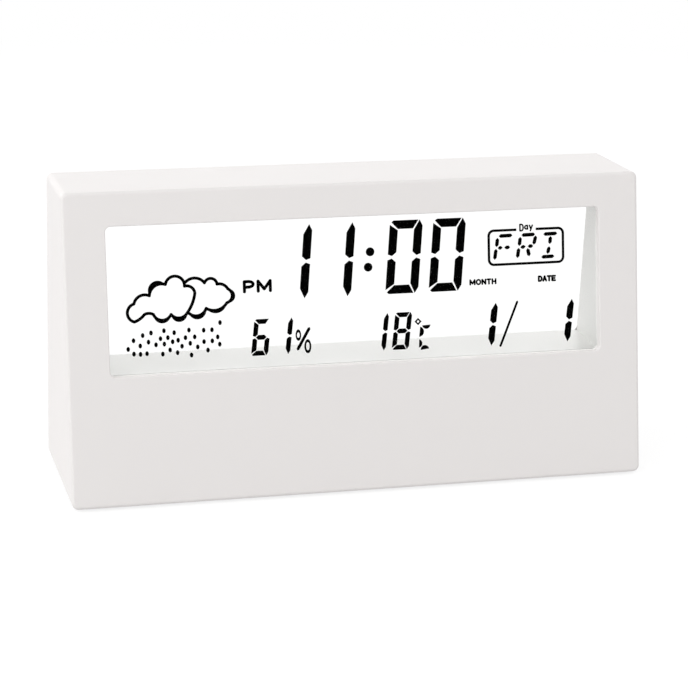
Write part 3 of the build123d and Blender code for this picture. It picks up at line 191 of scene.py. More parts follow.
def rear_place(x, rise, depth):
    """Points of the leaning rear, in metres: x runs to the right as seen from behind."""
    y = FACE_FOOT_Y - rise * math.sin(LEAN) - depth * math.cos(LEAN)
    z = FACE_FOOT_Z + rise * math.cos(LEAN) - depth * math.sin(LEAN)
    return np.stack(np.broadcast_arrays(-x, y, z), axis=-1) * MM


def under_place(x, run, depth):
    """Points of the underside, in metres: seen from below, and run goes up to the rear edge."""
    return np.stack(np.broadcast_arrays(-x, run, FACE_FOOT_Z + depth), axis=-1) * MM


class Value:
    """A socket of a finish's shader tree. Sums, products and powers of it add Math nodes."""

    def __init__(self, finish, socket):
        self.finish = finish
        self.socket = socket

    def maths(self, operation, *others):
        """A Math node of that operation on this value and the others."""
        return self.finish.add(
            "ShaderNodeMath", {"operation": operation}, dict(enumerate((self, *others)))
        )

    def __add__(self, other):
        return self.maths("ADD", other)

    def __sub__(self, other):
        return self.maths("SUBTRACT", other)

    def __mul__(self, other):
        return self.maths("MULTIPLY", other)

    def __truediv__(self, other):
        return self.maths("DIVIDE", other)

    def __pow__(self, other):
        return self.maths("POWER", other)

    def __rsub__(self, other):
        return self.finish.add("ShaderNodeMath", {"operation": "SUBTRACT"}, {0: other, 1: self})

    __radd__ = __add__
    __rmul__ = __mul__

    def size(self):
        """The value without its sign."""
        return self.maths("ABSOLUTE")

    def under(self, limit):
        """1 where the value is under the limit, 0 elsewhere."""
        return self.maths("LESS_THAN", limit)

    def over(self, limit):
        """1 where the value is over the limit, 0 elsewhere."""
        return self.maths("GREATER_THAN", limit)


class Finish:
    """One material and the ways to add to its tree of shader nodes."""

    def __init__(self, name, tree=None):
        if tree is None:
            self.material = bpy.data.materials.new(name)
            self.material.use_nodes = True
            tree = self.material.node_tree
        self.tree = tree
        self.tree.nodes.clear()

    def add(self, kind, settings=None, sockets=None, output=0):
        """Adds a node of a kind: first its settings, then each socket gets its value or link."""
        node = self.tree.nodes.new(kind)
        for name, setting in (settings or {}).items():
            setattr(node, name, setting)
        for name, given in (sockets or {}).items():
            if isinstance(given, Value):
                self.tree.links.new(given.socket, node.inputs[name])
            else:
                node.inputs[name].default_value = given
        return Value(self, node.outputs[output])

    def place(self):
        """Object coordinates, which are metres in the clock's own frame."""
        return self.add("ShaderNodeTexCoord", output="Object")

    def axes(self):
        """The three Object coordinates, one value each."""
        place = self.place()
        return [self.add("ShaderNodeSeparateXYZ", None, {0: place}, output=i) for i in range(3)]

    def noise(self, size, detail=2.0, stretch=(1.0, 1.0, 1.0)):
        """Noise whose lumps are about that size in millimetres, from 0 to 1."""
        place = self.add(
            "ShaderNodeVectorMath",
            {"operation": "MULTIPLY"},
            {0: self.place(), 1: stretch},
        )
        return self.add(
            "ShaderNodeTexNoise",
            None,
            {"Vector": place, "Scale": 1.0 / (size * MM), "Detail": detail},
        )

    def blend(self, share, low, high):
        """The low colour where share is 0 and the high one where it is 1."""
        return self.add(
            "ShaderNodeMix",
            {"data_type": "RGBA"},
            {0: share, 6: solid(low), 7: solid(high)},
            output=2,
        )

    def relief(self, height, depth):
        """A normal bumped by a height from 0 to 1, so many millimetres deep."""
        return self.add(
            "ShaderNodeBump", None, {"Strength": 1.0, "Distance": depth * MM, "Height": height}
        )

    def surface(self, shader):
        """Ends the tree with that shader and gives the material."""
        self.add_output(shader)
        return self.material

    def add_output(self, shader, kind="ShaderNodeOutputMaterial"):
        """Links the shader to a new output node."""
        node = self.tree.nodes.new(kind)
        self.tree.links.new(shader.socket, node.inputs["Surface"])

    def body(self, **sockets):
        """A Principled shader whose sockets are named with _ for a space, such as base_color."""
        named = {}
        for name, given in sockets.items():
            label = name.replace("_", " ").title().replace("Ior", "IOR")
            named[label] = given
        return self.add("ShaderNodeBsdfPrincipled", None, named)


def solid(colour):
    """A colour with full cover, unless it is a link already."""
    return colour if isinstance(colour, Value) else (*tuple(colour)[:3], 1.0)


def shade(colour, amount):
    """The colour times an amount."""
    return tuple(part * amount for part in tuple(colour)[:3])


def moulded(name, colour, roughness, grain, depth=0.008, drift=0.012, mirror=MATTE_SPECULAR):
    """Moulded plastic or rubber: a fine spark-eroded grain, faint flow clouds and handling marks.

    Colour = colour x (1 + drift x cloud), roughness = base + grain and smudge, normal from the grain.
    """
    cloud_size = 38.0
    smudge_size = 9.0
    cloud_share = 0.7
    grain_swing, smudge_swing = 0.08, 0.10
    finish = Finish(name)
    grains = finish.noise(grain, 3.0)
    clouds = finish.noise(cloud_size, 2.0)
    smudges = finish.noise(smudge_size, 4.0)
    tone = clouds * cloud_share + grains * (1.0 - cloud_share)
    return finish.surface(
        finish.body(
            base_color=finish.blend(tone, shade(colour, 1.0 - drift), shade(colour, 1.0 + drift)),
            roughness=roughness + (grains - 0.5) * grain_swing + (smudges - 0.5) * smudge_swing,
            normal=finish.relief(grains, depth),
            ior=PLASTIC_IOR,
            specular_ior_level=mirror,
        )
    )


def metal(name, colour, roughness, stretch):
    """Rolled or plated metal: fine drawn lines along the short side of stretch, and a dull bloom."""
    line_size, bloom_size = 0.12, 3.0
    line_swing, bloom_swing = 0.16, 0.14
    dull, bright = 0.86, 1.06
    finish = Finish(name)
    lines = finish.noise(line_size, 3.0, stretch)
    bloom = finish.noise(bloom_size, 3.0)
    return finish.surface(
        finish.body(
            base_color=finish.blend(bloom, shade(colour, dull), shade(colour, bright)),
            metallic=1.0,
            roughness=roughness + (lines - 0.5) * line_swing + (bloom - 0.5) * bloom_swing,
            normal=finish.relief(lines, 0.003),
        )
    )


def ink(name, colour):
    """Dark liquid crystal or print between panes: near black with a barely uneven depth."""
    finish = Finish(name)
    depth = finish.noise(1.2, 2.0)
    return finish.surface(
        finish.body(
            base_color=finish.blend(depth, shade(colour, 0.7), shade(colour, 1.3)),
            roughness=0.5 + (depth - 0.5) * 0.2,
            specular_ior_level=0.0,
        )
    )


def clear_pane(name, head_on, edge_tint):
    """Clear glass with a film: straight through, and a mirror that grows as (1 - cos)^5 to the side.

    Share of mirror = head_on + (1 - head_on) x facing^5, with facing from Layer Weight. The film's
    own roughness varies a little, as wiped glass does.
    """
    finish = Finish(name)
    facing = finish.add("ShaderNodeLayerWeight", None, {"Blend": 0.5}, output="Facing")
    share = facing**5.0 * (1.0 - head_on) + head_on
    wipes = finish.noise(14.0, 3.0, (1.0, 0.3, 1.0))
    through = finish.add("ShaderNodeBsdfTransparent", None, {"Color": solid(edge_tint)})
    mirror = finish.add(
        "ShaderNodeBsdfAnisotropic",
        None,
        {"Color": WHITE, "Roughness": 0.03 + wipes * 0.05},
    )
    return finish.surface(
        finish.add("ShaderNodeMixShader", None, {0: share, 1: through, 2: mirror})
    )


def milky(name, colour):
    """Milky light bar: smooth pale plastic with soft clouds of the light that it carries."""
    finish = Finish(name)
    clouds = finish.noise(6.0, 2.0)
    return finish.surface(
        finish.body(
            base_color=finish.blend(clouds, shade(colour, 0.96), shade(colour, 1.02)),
            roughness=0.22 + clouds * 0.1,
            normal=finish.relief(finish.noise(0.5, 1.0), 0.004),
        )
    )


def circuit(name, mask_colour, metal_colour):
    """Printed board: lacquer over copper tracks on a square grid, and bare tinned pads."""
    track_width = 0.16
    track_run = 2.6
    track_pitch = 1.3
    pad_pitch = 3.1
    pad_share = 0.16
    finish = Finish(name)
    tracks = finish.add(
        "ShaderNodeTexBrick",
        {"offset": 0.35, "squash": 0.7},
        {
            "Vector": finish.place(),
            "Color1": (0.0, 0.0, 0.0, 1.0),
            "Color2": (0.0, 0.0, 0.0, 1.0),
            "Mortar": WHITE,
            "Scale": 1.0 / MM,
            "Mortar Size": track_width,
            "Brick Width": track_run,
            "Row Height": track_pitch,
        },
        output="Fac",
    )
    cells = finish.add(
        "ShaderNodeTexVoronoi",
        {"distance": "CHEBYCHEV"},
        {"Vector": finish.place(), "Scale": 1.0 / (pad_pitch * MM), "Randomness": 0.35},
        output="Distance",
    )
    pads = cells.under(pad_share)
    fibre = finish.noise(0.4, 2.0)
    lacquer = finish.blend(tracks, shade(mask_colour, 0.75), shade(mask_colour, 1.5))
    weave = finish.blend(fibre * 0.35, lacquer, shade(mask_colour, 0.5))
    return finish.surface(
        finish.body(
            base_color=finish.blend(pads, weave, metal_colour),
            metallic=pads,
            roughness=0.3 + fibre * 0.15,
            normal=finish.relief(tracks * 0.5 + pads * 0.5, 0.03),
        )
    )


def ribbon(name, colour, groove_shade_colour, pitch):
    """Flat cable: light cores side by side, each a groove deep, from a sine across the width; the
    grooves get painted shade.
    """
    finish = Finish(name)
    x = finish.axes()[0]
    cores = (x * (2.0 * math.pi / (pitch * MM))).maths("SINE") * 0.5 + 0.5
    return finish.surface(
        finish.body(
            # painted shade: the grooves between the cores get the darker colour
            base_color=finish.blend(cores, groove_shade_colour, colour),
            roughness=0.4 + finish.noise(2.0) * 0.1,
            normal=finish.relief(cores, 0.12),
        )
    )


def cell_wrap(name, low, high, nub_side, colour, ring_colour, can_colour):
    """Shrink-wrapped battery cell: bare can at both ends, a pale ring and a plus sign by the nub.

    Places along the cell are shares of its length from the nub, and the signs are bars measured
    along the cell and round it, where the way round is the angle from straight down x the radius.
    """
    wrap_start, wrap_end = 0.045, 0.985
    ring_start, ring_end = 0.06, 0.2
    plus_place, minus_place = 0.28, 0.9
    jacket_share = 0.86
    finish = Finish(name)
    middle = (low + high) / 2.0
    radius = (high.z - low.z) / 2.0
    length = high.x - low.x
    x, y, z = finish.axes()
    along = (x - middle.x) * (nub_side / length) + 0.5
    from_nub = 1.0 - along
    around = (y - middle.y).maths("ARCTAN2", middle.z - z) * radius
    away = ((y - middle.y) ** 2.0 + (z - middle.z) ** 2.0) ** 0.5
    side = away.over(radius * jacket_share)
    wrap = from_nub.over(wrap_start) * from_nub.under(wrap_end) * side
    ring = from_nub.over(ring_start) * from_nub.under(ring_end)
    plus_run = (from_nub - plus_place) * length
    minus_run = (from_nub - minus_place) * length
    long_bar = 1.7 * MM
    thin_bar = 0.35 * MM
    plus = (plus_run.size().under(long_bar) * around.size().under(thin_bar)).maths(
        "MAXIMUM", plus_run.size().under(thin_bar) * around.size().under(long_bar)
    )
    minus = minus_run.size().under(thin_bar) * around.size().under(long_bar)
    print_mask = ring.maths("MAXIMUM", plus).maths("MAXIMUM", minus)
    scuffs = finish.noise(1.5, 4.0)
    wrapped = finish.blend(print_mask, shade(colour, 1.0), ring_colour)
    worn = finish.blend(scuffs * 0.15, wrapped, shade(colour, 1.6))
    return finish.surface(
        finish.body(
            base_color=finish.blend(wrap, can_colour, worn),
            metallic=1.0 - wrap * 0.75,
            roughness=0.24 + scuffs * 0.16,
            normal=finish.relief(finish.noise(2.5, 2.0), 0.01),
        )
    )


def repaint(slot_name, material):
    """Gives the material to every part that the record lists under that slot."""
    for name, part in frame["nodes"].items():
        if NODE_SLOTS[name] == slot_name:
            paint(part, material)


def paint(part, material):
    """Puts the one material in every slot of a part."""
    if not part.data.materials:
        part.data.materials.append(material)
    for index in range(len(part.material_slots)):
        part.material_slots[index].material = material


NODE_SLOTS = {part["node"]: part["material_slot"] for part in frame["record"]["subparts"]}


def add_piece(name, points, faces, material, body, slot_name):
    """A new flat-shaded piece from worked-out points and faces, riding on a body."""
    mesh = bpy.data.meshes.new(name)
    mesh.from_pydata(np.asarray(points).reshape(-1, 3).tolist(), [], faces)
    mesh.polygons.foreach_set("use_smooth", np.zeros(len(mesh.polygons), bool))
    mesh.materials.append(material)
    mesh.validate()
    piece = bpy.data.objects.new(name, mesh)
    bpy.context.scene.collection.objects.link(piece)
    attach(piece, body)
    return piece


def ring_faces(rings, count):
    """Faces of stacked closed rings of count points: quads between rings, a flat cap on each end."""
    index = np.arange(rings * count).reshape(rings, count)
    after = np.roll(index, -1, axis=1)
    quads = np.stack([index[:-1], after[:-1], after[1:], index[1:]], axis=-1).reshape(-1, 4)
    return [*quads.tolist(), index[0][::-1].tolist(), index[-1].tolist()]


def rounded_box(half_width, low, high, radius):
    """Outline of a rectangle with round corners, going round anticlockwise.

    Each corner's arc is its centre + radius x (cos, sin) of an angle that runs over its quarter.
    """
    quarter = 0.5 * math.pi
    angle = np.linspace(0.0, quarter, CORNER_POINTS)[None, :] + quarter * np.arange(4)[:, None]
    side = np.array([1.0, -1.0, -1.0, 1.0])[:, None]
    top = np.array([1.0, 1.0, -1.0, -1.0])[:, None]
    x = side * (half_width - radius) + radius * np.cos(angle)
    rise = (low + high) / 2.0 + top * ((high - low) / 2.0 - radius) + radius * np.sin(angle)
    return x.ravel(), rise.ravel()


def pane(name, levels, material, replaced):
    """A clear pane: outlines (half width, low, high, depth) joined one behind the other, capped."""
    rings = []
    for half_width, low, high, depth in levels:
        x, rise = rounded_box(half_width, low, high, PANE_CORNER)
        rings.append(front_place(x, rise, depth))
    faces = ring_faces(len(levels), len(rings[0]))
    piece = add_piece(name, np.concatenate(rings), faces, material, "root", "display_glass")
    outward(piece.data)
    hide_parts(*replaced)


def tape_lip(material):
    """The tape's soft edge, squeezed out to the window: a flat ring with four faces all round.

    Its outline runs just inside the tape's opening. Its inner edge follows the window's, and stands
    a little above it at the foot, where it hides the front of the tunnel.
    """
    reach = TAPE_SETBACK - PANE_GAP
    outer = rounded_box(
        WINDOW_HALF_WIDTH + reach, WINDOW_LOW - reach, WINDOW_HIGH + reach, TAPE_SETBACK
    )
    inner = rounded_box(WINDOW_HALF_WIDTH, WINDOW_LOW + LIP_RISE, WINDOW_HIGH, WINDOW_CORNER)
    near = TAPE_DEPTH + PANE_GAP
    far = POLARISER_DEPTH - PANE_GAP
    rings = [
        front_place(*outline, depth)
        for outline, depth in ((outer, near), (inner, near), (inner, far), (outer, far))
    ]
    index = np.arange(4 * len(rings[0])).reshape(4, -1)
    inward = np.roll(index, -1, axis=0)
    faces = np.stack(
        [index, np.roll(index, -1, axis=1), np.roll(inward, -1, axis=1), inward], axis=-1
    ).reshape(-1, 4)
    piece = add_piece("tape_lip", np.concatenate(rings), faces.tolist(), material, "root", "tape")
    outward(piece.data)


def outward(mesh):
    """Merges doubles and turns every face outward."""
    work = bmesh.new()
    work.from_mesh(mesh)
    bmesh.ops.remove_doubles(work, verts=work.verts, dist=MERGE_DISTANCE)
    bmesh.ops.recalc_face_normals(work, faces=work.faces)
    work.to_mesh(mesh)
    work.free()


def arc(middle_x, middle_y, half_width, half_height, start, end):
    """Centre line of a bend: middle + (half width x cos a, half height x sin a), a in degrees."""
    angle = np.radians(np.linspace(start, end, ARC_POINTS))
    return np.stack(
        [middle_x + half_width * np.cos(angle), middle_y + half_height * np.sin(angle)], axis=-1
    )


def bow(right, low, high):
    """Right-hand bow of a letter: a level line, half an ellipse and a level line back."""
    level_end = 0.45
    middle = (low + high) / 2.0
    bend = arc(level_end, middle, right - level_end, (high - low) / 2.0, 90.0, -90.0)
    return np.concatenate([[(0.0, high)], bend, [(0.0, low)]])


# Centre lines of the letters' strokes, in shares of each letter's own box, and the boxes' widths
LETTERS = {
    "A": [[(0, 0), (0.5, 1)], [(0.5, 1), (1, 0)], [(0.2, 0.34), (0.8, 0.34)]],
    "D": [[(0, 0), (0, 1)], bow(1.0, 0.0, 1.0)],
    "E": [[(0, 0), (0, 1)], [(0, 1), (1, 1)], [(0, 0.5), (0.85, 0.5)], [(0, 0), (1, 0)]],
    "G": [
        arc(0.5, 0.5, 0.5, 0.5, 50.0, 330.0),
        [(0.95, 0.25), (0.95, 0.45)],
        [(0.6, 0.45), (0.95, 0.45)],
    ],
    "H": [[(0, 0), (0, 1)], [(1, 0), (1, 1)], [(0, 0.5), (1, 0.5)]],
    "I": [[(0.5, 0), (0.5, 1)]],
    "L": [[(0, 0), (0, 1)], [(0, 0), (1, 0)]],
    "M": [[(0, 0), (0, 1)], [(0, 1), (0.5, 0.2)], [(0.5, 0.2), (1, 1)], [(1, 0), (1, 1)]],
    "N": [[(0, 0), (0, 1)], [(0, 1), (1, 0)], [(1, 0), (1, 1)]],
    "O": [arc(0.5, 0.5, 0.5, 0.5, 90.0, 270.0), arc(0.5, 0.5, 0.5, 0.5, -90.0, 90.0)],
    "P": [[(0, 0), (0, 1)], bow(1.0, 0.45, 1.0)],
    "S": [
        np.concatenate(
            [arc(0.5, 0.76, 0.45, 0.24, 20.0, 250.0), arc(0.5, 0.26, 0.5, 0.26, 70.0, -160.0)]
        )
    ],
    "T": [[(0, 1), (1, 1)], [(0.5, 0), (0.5, 1)]],
    "a": [
        arc(0.45, 0.52, 0.45, 0.28, 0.0, 180.0),
        arc(0.45, 0.52, 0.45, 0.28, -180.0, 0.0),
        [(0.9, 0.24), (0.9, 0.8)],
    ],
    "y": [[(0, 0.8), (0.5, 0.2)], [(1, 0.8), (0.3, -0.05)]],
}
LETTER_WIDTHS = {"I": 0.1, "M": 0.85, "O": 0.75, "a": 0.55, "y": 0.55}
PLAIN_LETTER_WIDTH = 0.62
LETTER_GAP = 0.34


def stroke_outline(path, half):
    """Outline of a round-ended stroke: path + half x normal down one side, a half circle, and back.

    The normals come from the path's own slope, and each end's half circle is end + half x (cos, sin).
    """
    path = np.asarray(path, float)
    slope = np.gradient(path, axis=0)
    slope /= np.linalg.norm(slope, axis=1)[:, None]
    normal = np.stack([-slope[:, 1], slope[:, 0]], axis=-1)
    sides = [path - half * normal, (path + half * normal)[::-1]]
    round_part = np.linspace(-0.5 * math.pi, 0.5 * math.pi, END_POINTS)[1:-1]
    ends = []
    for end, way in ((path[-1], slope[-1]), (path[0], -slope[0])):
        angle = round_part + math.atan2(way[1], way[0])
        ends.append(end + half * np.stack([np.cos(angle), np.sin(angle)], axis=-1))
    return np.concatenate([sides[0], ends[0], sides[1], ends[1]])


def lettering(name, words, stroke, box, depths, place, material, body, slot_name):
    """Words on a face as thin round-ended strokes: each letter's box is its share of the words' box.

    Letter width = its own share x unit, with unit = width / (sum of shares + gaps between them).
    """
    left, right, foot, top = box
    half = stroke / 2.0
    widths = np.array([LETTER_WIDTHS.get(letter, PLAIN_LETTER_WIDTH) for letter in words])
    unit = (right - left - stroke) / (widths.sum() + LETTER_GAP * (len(words) - 1))
    starts = left + half + unit * (np.cumsum(widths + LETTER_GAP) - widths - LETTER_GAP)
    outlines = []
    for letter, start, width in zip(words, starts, widths * unit):
        for path in LETTERS[letter]:
            line = np.asarray(path, float) * (width, top - foot - stroke) + (start, foot + half)
            outlines.append(stroke_outline(line, half))
    sign(name, outlines, depths, place, material, body, slot_name)


def sign(name, outlines, depths, place, material, body, slot_name):
    """Flat signs such as arrows: each outline is a closed polygon carried between two depths."""
    points = []
    faces = []
    for outline in outlines:
        outline = np.asarray(outline, float)
        start = sum(len(ring) for ring in points)
        for depth in depths:
            points.append(place(outline[:, 0], outline[:, 1], depth))
        faces += [[start + corner for corner in face] for face in ring_faces(2, len(outline))]
    piece = add_piece(name, np.concatenate(points), faces, material, body, slot_name)
    outward(piece.data)


class CaseLook(bpy.types.PropertyGroup):
    """Plastic of the case, its cover, its keys and its door."""

    colour: FloatVectorProperty(
        name="Case colour",
        description="Colour of the moulded case",
        default=(0.80, 0.775, 0.765),
        subtype="COLOR",
        min=0.0,
        max=1.0,
    )
    tunnel_colour: FloatVectorProperty(
        name="Tunnel colour",
        description="Colour of the see-through tunnel behind the display",
        default=(0.95, 0.95, 0.93),
        subtype="COLOR",
        min=0.0,
        max=1.0,
    )
    roughness: FloatProperty(
        name="Roughness",
        description="Base roughness of the moulded surface",
        default=0.46,
        subtype="FACTOR",
        min=0.0,
        max=1.0,
    )
    grain: FloatProperty(
        name="Grain size",
        description="Size of the spark-eroded grain",
        default=0.3 * MM,
        unit="LENGTH",
        min=0.0,
    )


class DisplayLook(bpy.types.PropertyGroup):
    """Panes and ink of the display."""

    ink_colour: FloatVectorProperty(
        name="Ink colour",
        description="Colour of the dark figures",
        default=(0.0012, 0.0012, 0.0012),
        subtype="COLOR",
        min=0.0,
        max=1.0,
    )
    pane_tint: FloatVectorProperty(
        name="Pane tint",
        description="What one surface of a pane lets through",
        default=(0.998, 0.999, 0.998),
        subtype="COLOR",
        min=0.0,
        max=1.0,
    )
    head_on_mirror: FloatProperty(
        name="Head-on mirror",
        description="Share of light that the coated pane reflects when seen straight on",
        default=0.0004,
        subtype="FACTOR",
        min=0.0,
        max=1.0,
    )


class RearLook(bpy.types.PropertyGroup):
    """Lettering by the keys and on the door."""

    print_colour: FloatVectorProperty(
        name="Print colour",
        description="Colour of the printed words under the keys",
        default=(0.2, 0.2, 0.205),
        subtype="COLOR",
        min=0.0,
        max=1.0,
    )
    letter_height: FloatProperty(
        name="Letter height",
        description="Height of the letters under the keys",
        default=1.5 * MM,
        unit="LENGTH",
        min=0.0,
    )
    letter_proud: FloatProperty(
        name="Letter relief",
        description="How far the letters stand out",
        default=0.04 * MM,
        unit="LENGTH",
        min=0.0,
    )
    arrow_proud: FloatProperty(
        name="Arrow relief",
        description="How far the arrow on the battery door stands out",
        default=0.3 * MM,
        unit="LENGTH",
        min=0.0,
    )
    arrow_shift: FloatProperty(
        name="Arrow shift",
        description="How far the arrow's middle lies in front of the door's finger ridges",
        default=3.0 * MM,
        unit="LENGTH",
        min=0.0,
    )


class BatteryLook(bpy.types.PropertyGroup):
    """Battery cells behind the door."""

    wrap_colour: FloatVectorProperty(
        name="Wrap colour",
        description="Colour of the cells' shrink wrap",
        default=(0.03, 0.075, 0.16),
        subtype="COLOR",
        min=0.0,
        max=1.0,
    )
    ring_colour: FloatVectorProperty(
        name="Ring colour",
        description="Colour of the ring and the signs on the wrap",
        default=(0.62, 0.64, 0.66),
        subtype="COLOR",
        min=0.0,
        max=1.0,
    )


class StudioLook(bpy.types.PropertyGroup):
    """Camera, lamps, floor and surroundings."""

    camera_place: FloatVectorProperty(
        name="Camera place",
        description="Where the camera stands",
        default=(-128.531 * MM, -517.964 * MM, 172.196 * MM),
        subtype="TRANSLATION",
        unit="LENGTH",
        precision=6,
    )
    heading: FloatProperty(
        name="Heading",
        description="How far the camera is turned to the right of straight ahead",
        default=math.radians(13.984),
        subtype="ANGLE",
        unit="ROTATION",
    )
    dip: FloatProperty(
        name="Dip",
        description="How far the camera looks down",
        default=math.radians(14.960),
        subtype="ANGLE",
        unit="ROTATION",
    )
    roll: FloatProperty(
        name="Roll",
        description="How far the camera is tilted about its own axis",
        default=math.radians(0.536),
        subtype="ANGLE",
        unit="ROTATION",
    )
    lens: FloatProperty(
        name="Lens",
        description="Focal length in millimetres",
        default=123.06,
        min=1.0,
    )
    ambient: FloatProperty(
        name="Ambient level",
        description="Light from all round",
        default=0.62,
        min=0.0,
    )
    key_power: FloatProperty(
        name="Key lamp",
        description="Power of the large lamp above the left side",
        default=8.2,
        unit="POWER",
        min=0.0,
    )
    fill_power: FloatProperty(
        name="Fill lamp",
        description="Power of the lamp in front",
        default=3.7,
        unit="POWER",
        min=0.0,
    )
    back_power: FloatProperty(
        name="Back lamp",
        description="Power of the lamp behind",
        default=4.2,
        unit="POWER",
        min=0.0,
    )
    floor_level: FloatProperty(
        name="Floor level",
        description="Plain brightness that the floor keeps in shade",
        default=0.8,
        subtype="FACTOR",
        min=0.0,
        max=1.0,
    )


class CLOCK_OT_case_plastic(bpy.types.Operator):
    """Moulded plastic on the case, the cover, the tunnel, the keys, the door and the feet"""

    bl_idname = "desk_clock.case_plastic"
    bl_label = "Case plastic"

    def execute(self, context):
        look = context.scene.clock_case
        plastics = {
            "case_plastic": (look.colour, look.roughness),
            "cover_plastic": (look.colour, look.roughness),
            "door_plastic": (look.colour, look.roughness),
            "button_plastic": (shade(look.colour, KEY_SHADE), look.roughness - KEY_SMOOTHER),
        }
        for slot_name, (colour, roughness) in plastics.items():
            repaint(slot_name, moulded(slot_name, colour, roughness, look.grain / MM))
        satin = moulded(
            "tunnel_plastic",
            look.tunnel_colour,
            look.roughness - TUNNEL_SMOOTHER,
            look.grain / MM,
            mirror=SATIN_SPECULAR,
        )
        repaint("tunnel_plastic", satin)
        repaint("foot_rubber", moulded("foot_rubber", *FOOT_RUBBER))
        return {"FINISHED"}


class CLOCK_OT_display_panes(bpy.types.Operator):
    """Clear panes in place of the glass and polariser layers, and the ink of the figures"""

    bl_idname = "desk_clock.display_panes"
    bl_label = "Display panes"

    def execute(self, context):
        look = context.scene.clock_display
        clear = clear_pane("display_glass", look.head_on_mirror, look.pane_tint)
        film = face_box("front_polariser")
        glass = face_box("front_glass")
        pane(
            "front_pane",
            [
                (*film, POLARISER_DEPTH + PANE_GAP),
                (*film, GLASS_DEPTH),
                (*glass, GLASS_DEPTH),
                (*glass, CRYSTAL_DEPTH - PANE_GAP),
            ],
            clear,
            ["front_polariser", "front_glass"],
        )
        film = face_box("rear_polariser")
        glass = face_box("rear_glass")
        pane(
            "rear_pane",
            [
                (*glass, REAR_GLASS_DEPTH + PANE_GAP),
                (*glass, REAR_POLARISER_DEPTH),
                (*film, REAR_POLARISER_DEPTH),
                (*film, DISPLAY_END_DEPTH - PANE_GAP),
            ],
            clear,
            ["rear_glass", "rear_polariser"],
        )
        for slot_name in ("display_glass", "polariser_film"):
            repaint(slot_name, clear)
        repaint("display_ink", ink("display_ink", look.ink_colour))
        repaint("seal", moulded("seal", *SEAL))
        tape = moulded("tape", *TAPE)
        repaint("tape", tape)
        tape_lip(tape)
        return {"FINISHED"}


def face_box(node_name):
    """Half width, lower and upper rise of a flat display layer, in millimetres, from its CAD box."""
    low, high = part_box(node_name)
    bottom = (low.z / MM - FACE_FOOT_Z) / math.cos(LEAN)
    top = (high.z / MM - FACE_FOOT_Z) / math.cos(LEAN)
    depth_low, depth_high = LAYER_DEPTHS[node_name]
    return (
        high.x / MM,
        bottom + depth_high * math.tan(LEAN),
        top + depth_low * math.tan(LEAN),
    )


LAYER_DEPTHS = {
    "front_polariser": (POLARISER_DEPTH, GLASS_DEPTH),
    "front_glass": (GLASS_DEPTH, CRYSTAL_DEPTH),
    "rear_glass": (REAR_GLASS_DEPTH, REAR_POLARISER_DEPTH),
    "rear_polariser": (REAR_POLARISER_DEPTH, DISPLAY_END_DEPTH),
}


class CLOCK_OT_display_words(bpy.types.Operator):
    """Small fixed words of the display, in the layer of the figures"""

    bl_idname = "desk_clock.display_words"
    bl_label = "Display words"

    def execute(self, context):
        look = context.scene.clock_display
        dark = ink("word_ink", look.ink_colour)
        depths = (REAR_GLASS_DEPTH - 2.0 * PANE_GAP, CRYSTAL_DEPTH + 2.0 * PANE_GAP)
        for name, (text, stroke, box) in DISPLAY_WORDS.items():
            lettering(name, text, stroke, box, depths, front_place, dark, "root", "display_ink")
        return {"FINISHED"}


class CLOCK_OT_rear_lettering(bpy.types.Operator):
    """Raised words and arrows under the keys, and an arrow on the battery door"""

    bl_idname = "desk_clock.rear_lettering"
    bl_label = "Rear lettering"

    def execute(self, context):
        case = context.scene.clock_case
        look = context.scene.clock_rear
        raised = moulded("key_print", look.print_colour, case.roughness, 0.1, 0.004, 0.1)
        height = look.letter_height / MM
        foot = LABEL_TOP - height
        depths = (LABEL_ROOT, -look.letter_proud / MM)
        on_cover = (depths, rear_place, raised, "root", "cover_plastic")
        for name, (text, x, width) in KEY_LABELS.items():
            box = (-x - width / 2.0, -x + width / 2.0, foot, LABEL_TOP)
            lettering(name, text, LABEL_STROKE, box, *on_cover)
        arrow = np.array([(-1.0, 0.0), (1.0, 0.0), (0.0, 1.0)]) * (1.0, height)
        up = arrow + (0.0, foot)
        down = arrow * (1.0, -1.0) + (DOWN_KEY_X, LABEL_TOP)
        sign("label_arrows", [up, down[::-1]], *on_cover)
        half = [
            (ARROW_SHAFT, ARROW_TAIL),
            (ARROW_SHAFT, ARROW_NECK),
            (ARROW_HEAD, ARROW_NECK),
        ]
        mirrored = [(-x, run) for x, run in half]
        door_arrow = np.array([mirrored[0], *half, (0.0, ARROW_TIP), *mirrored[:0:-1]])
        door_sign = moulded(
            "door_sign",
            shade(case.colour, DOOR_SIGN_SHADE),
            case.roughness - DOOR_SIGN_SMOOTHER,
            case.grain / MM,
        )
        sign(
            "door_arrow",
            [door_arrow - (0.0, look.arrow_shift / MM)],
            (LABEL_ROOT, -look.arrow_proud / MM),
            under_place,
            door_sign,
            "battery_door",
            "door_plastic",
        )
        return {"FINISHED"}


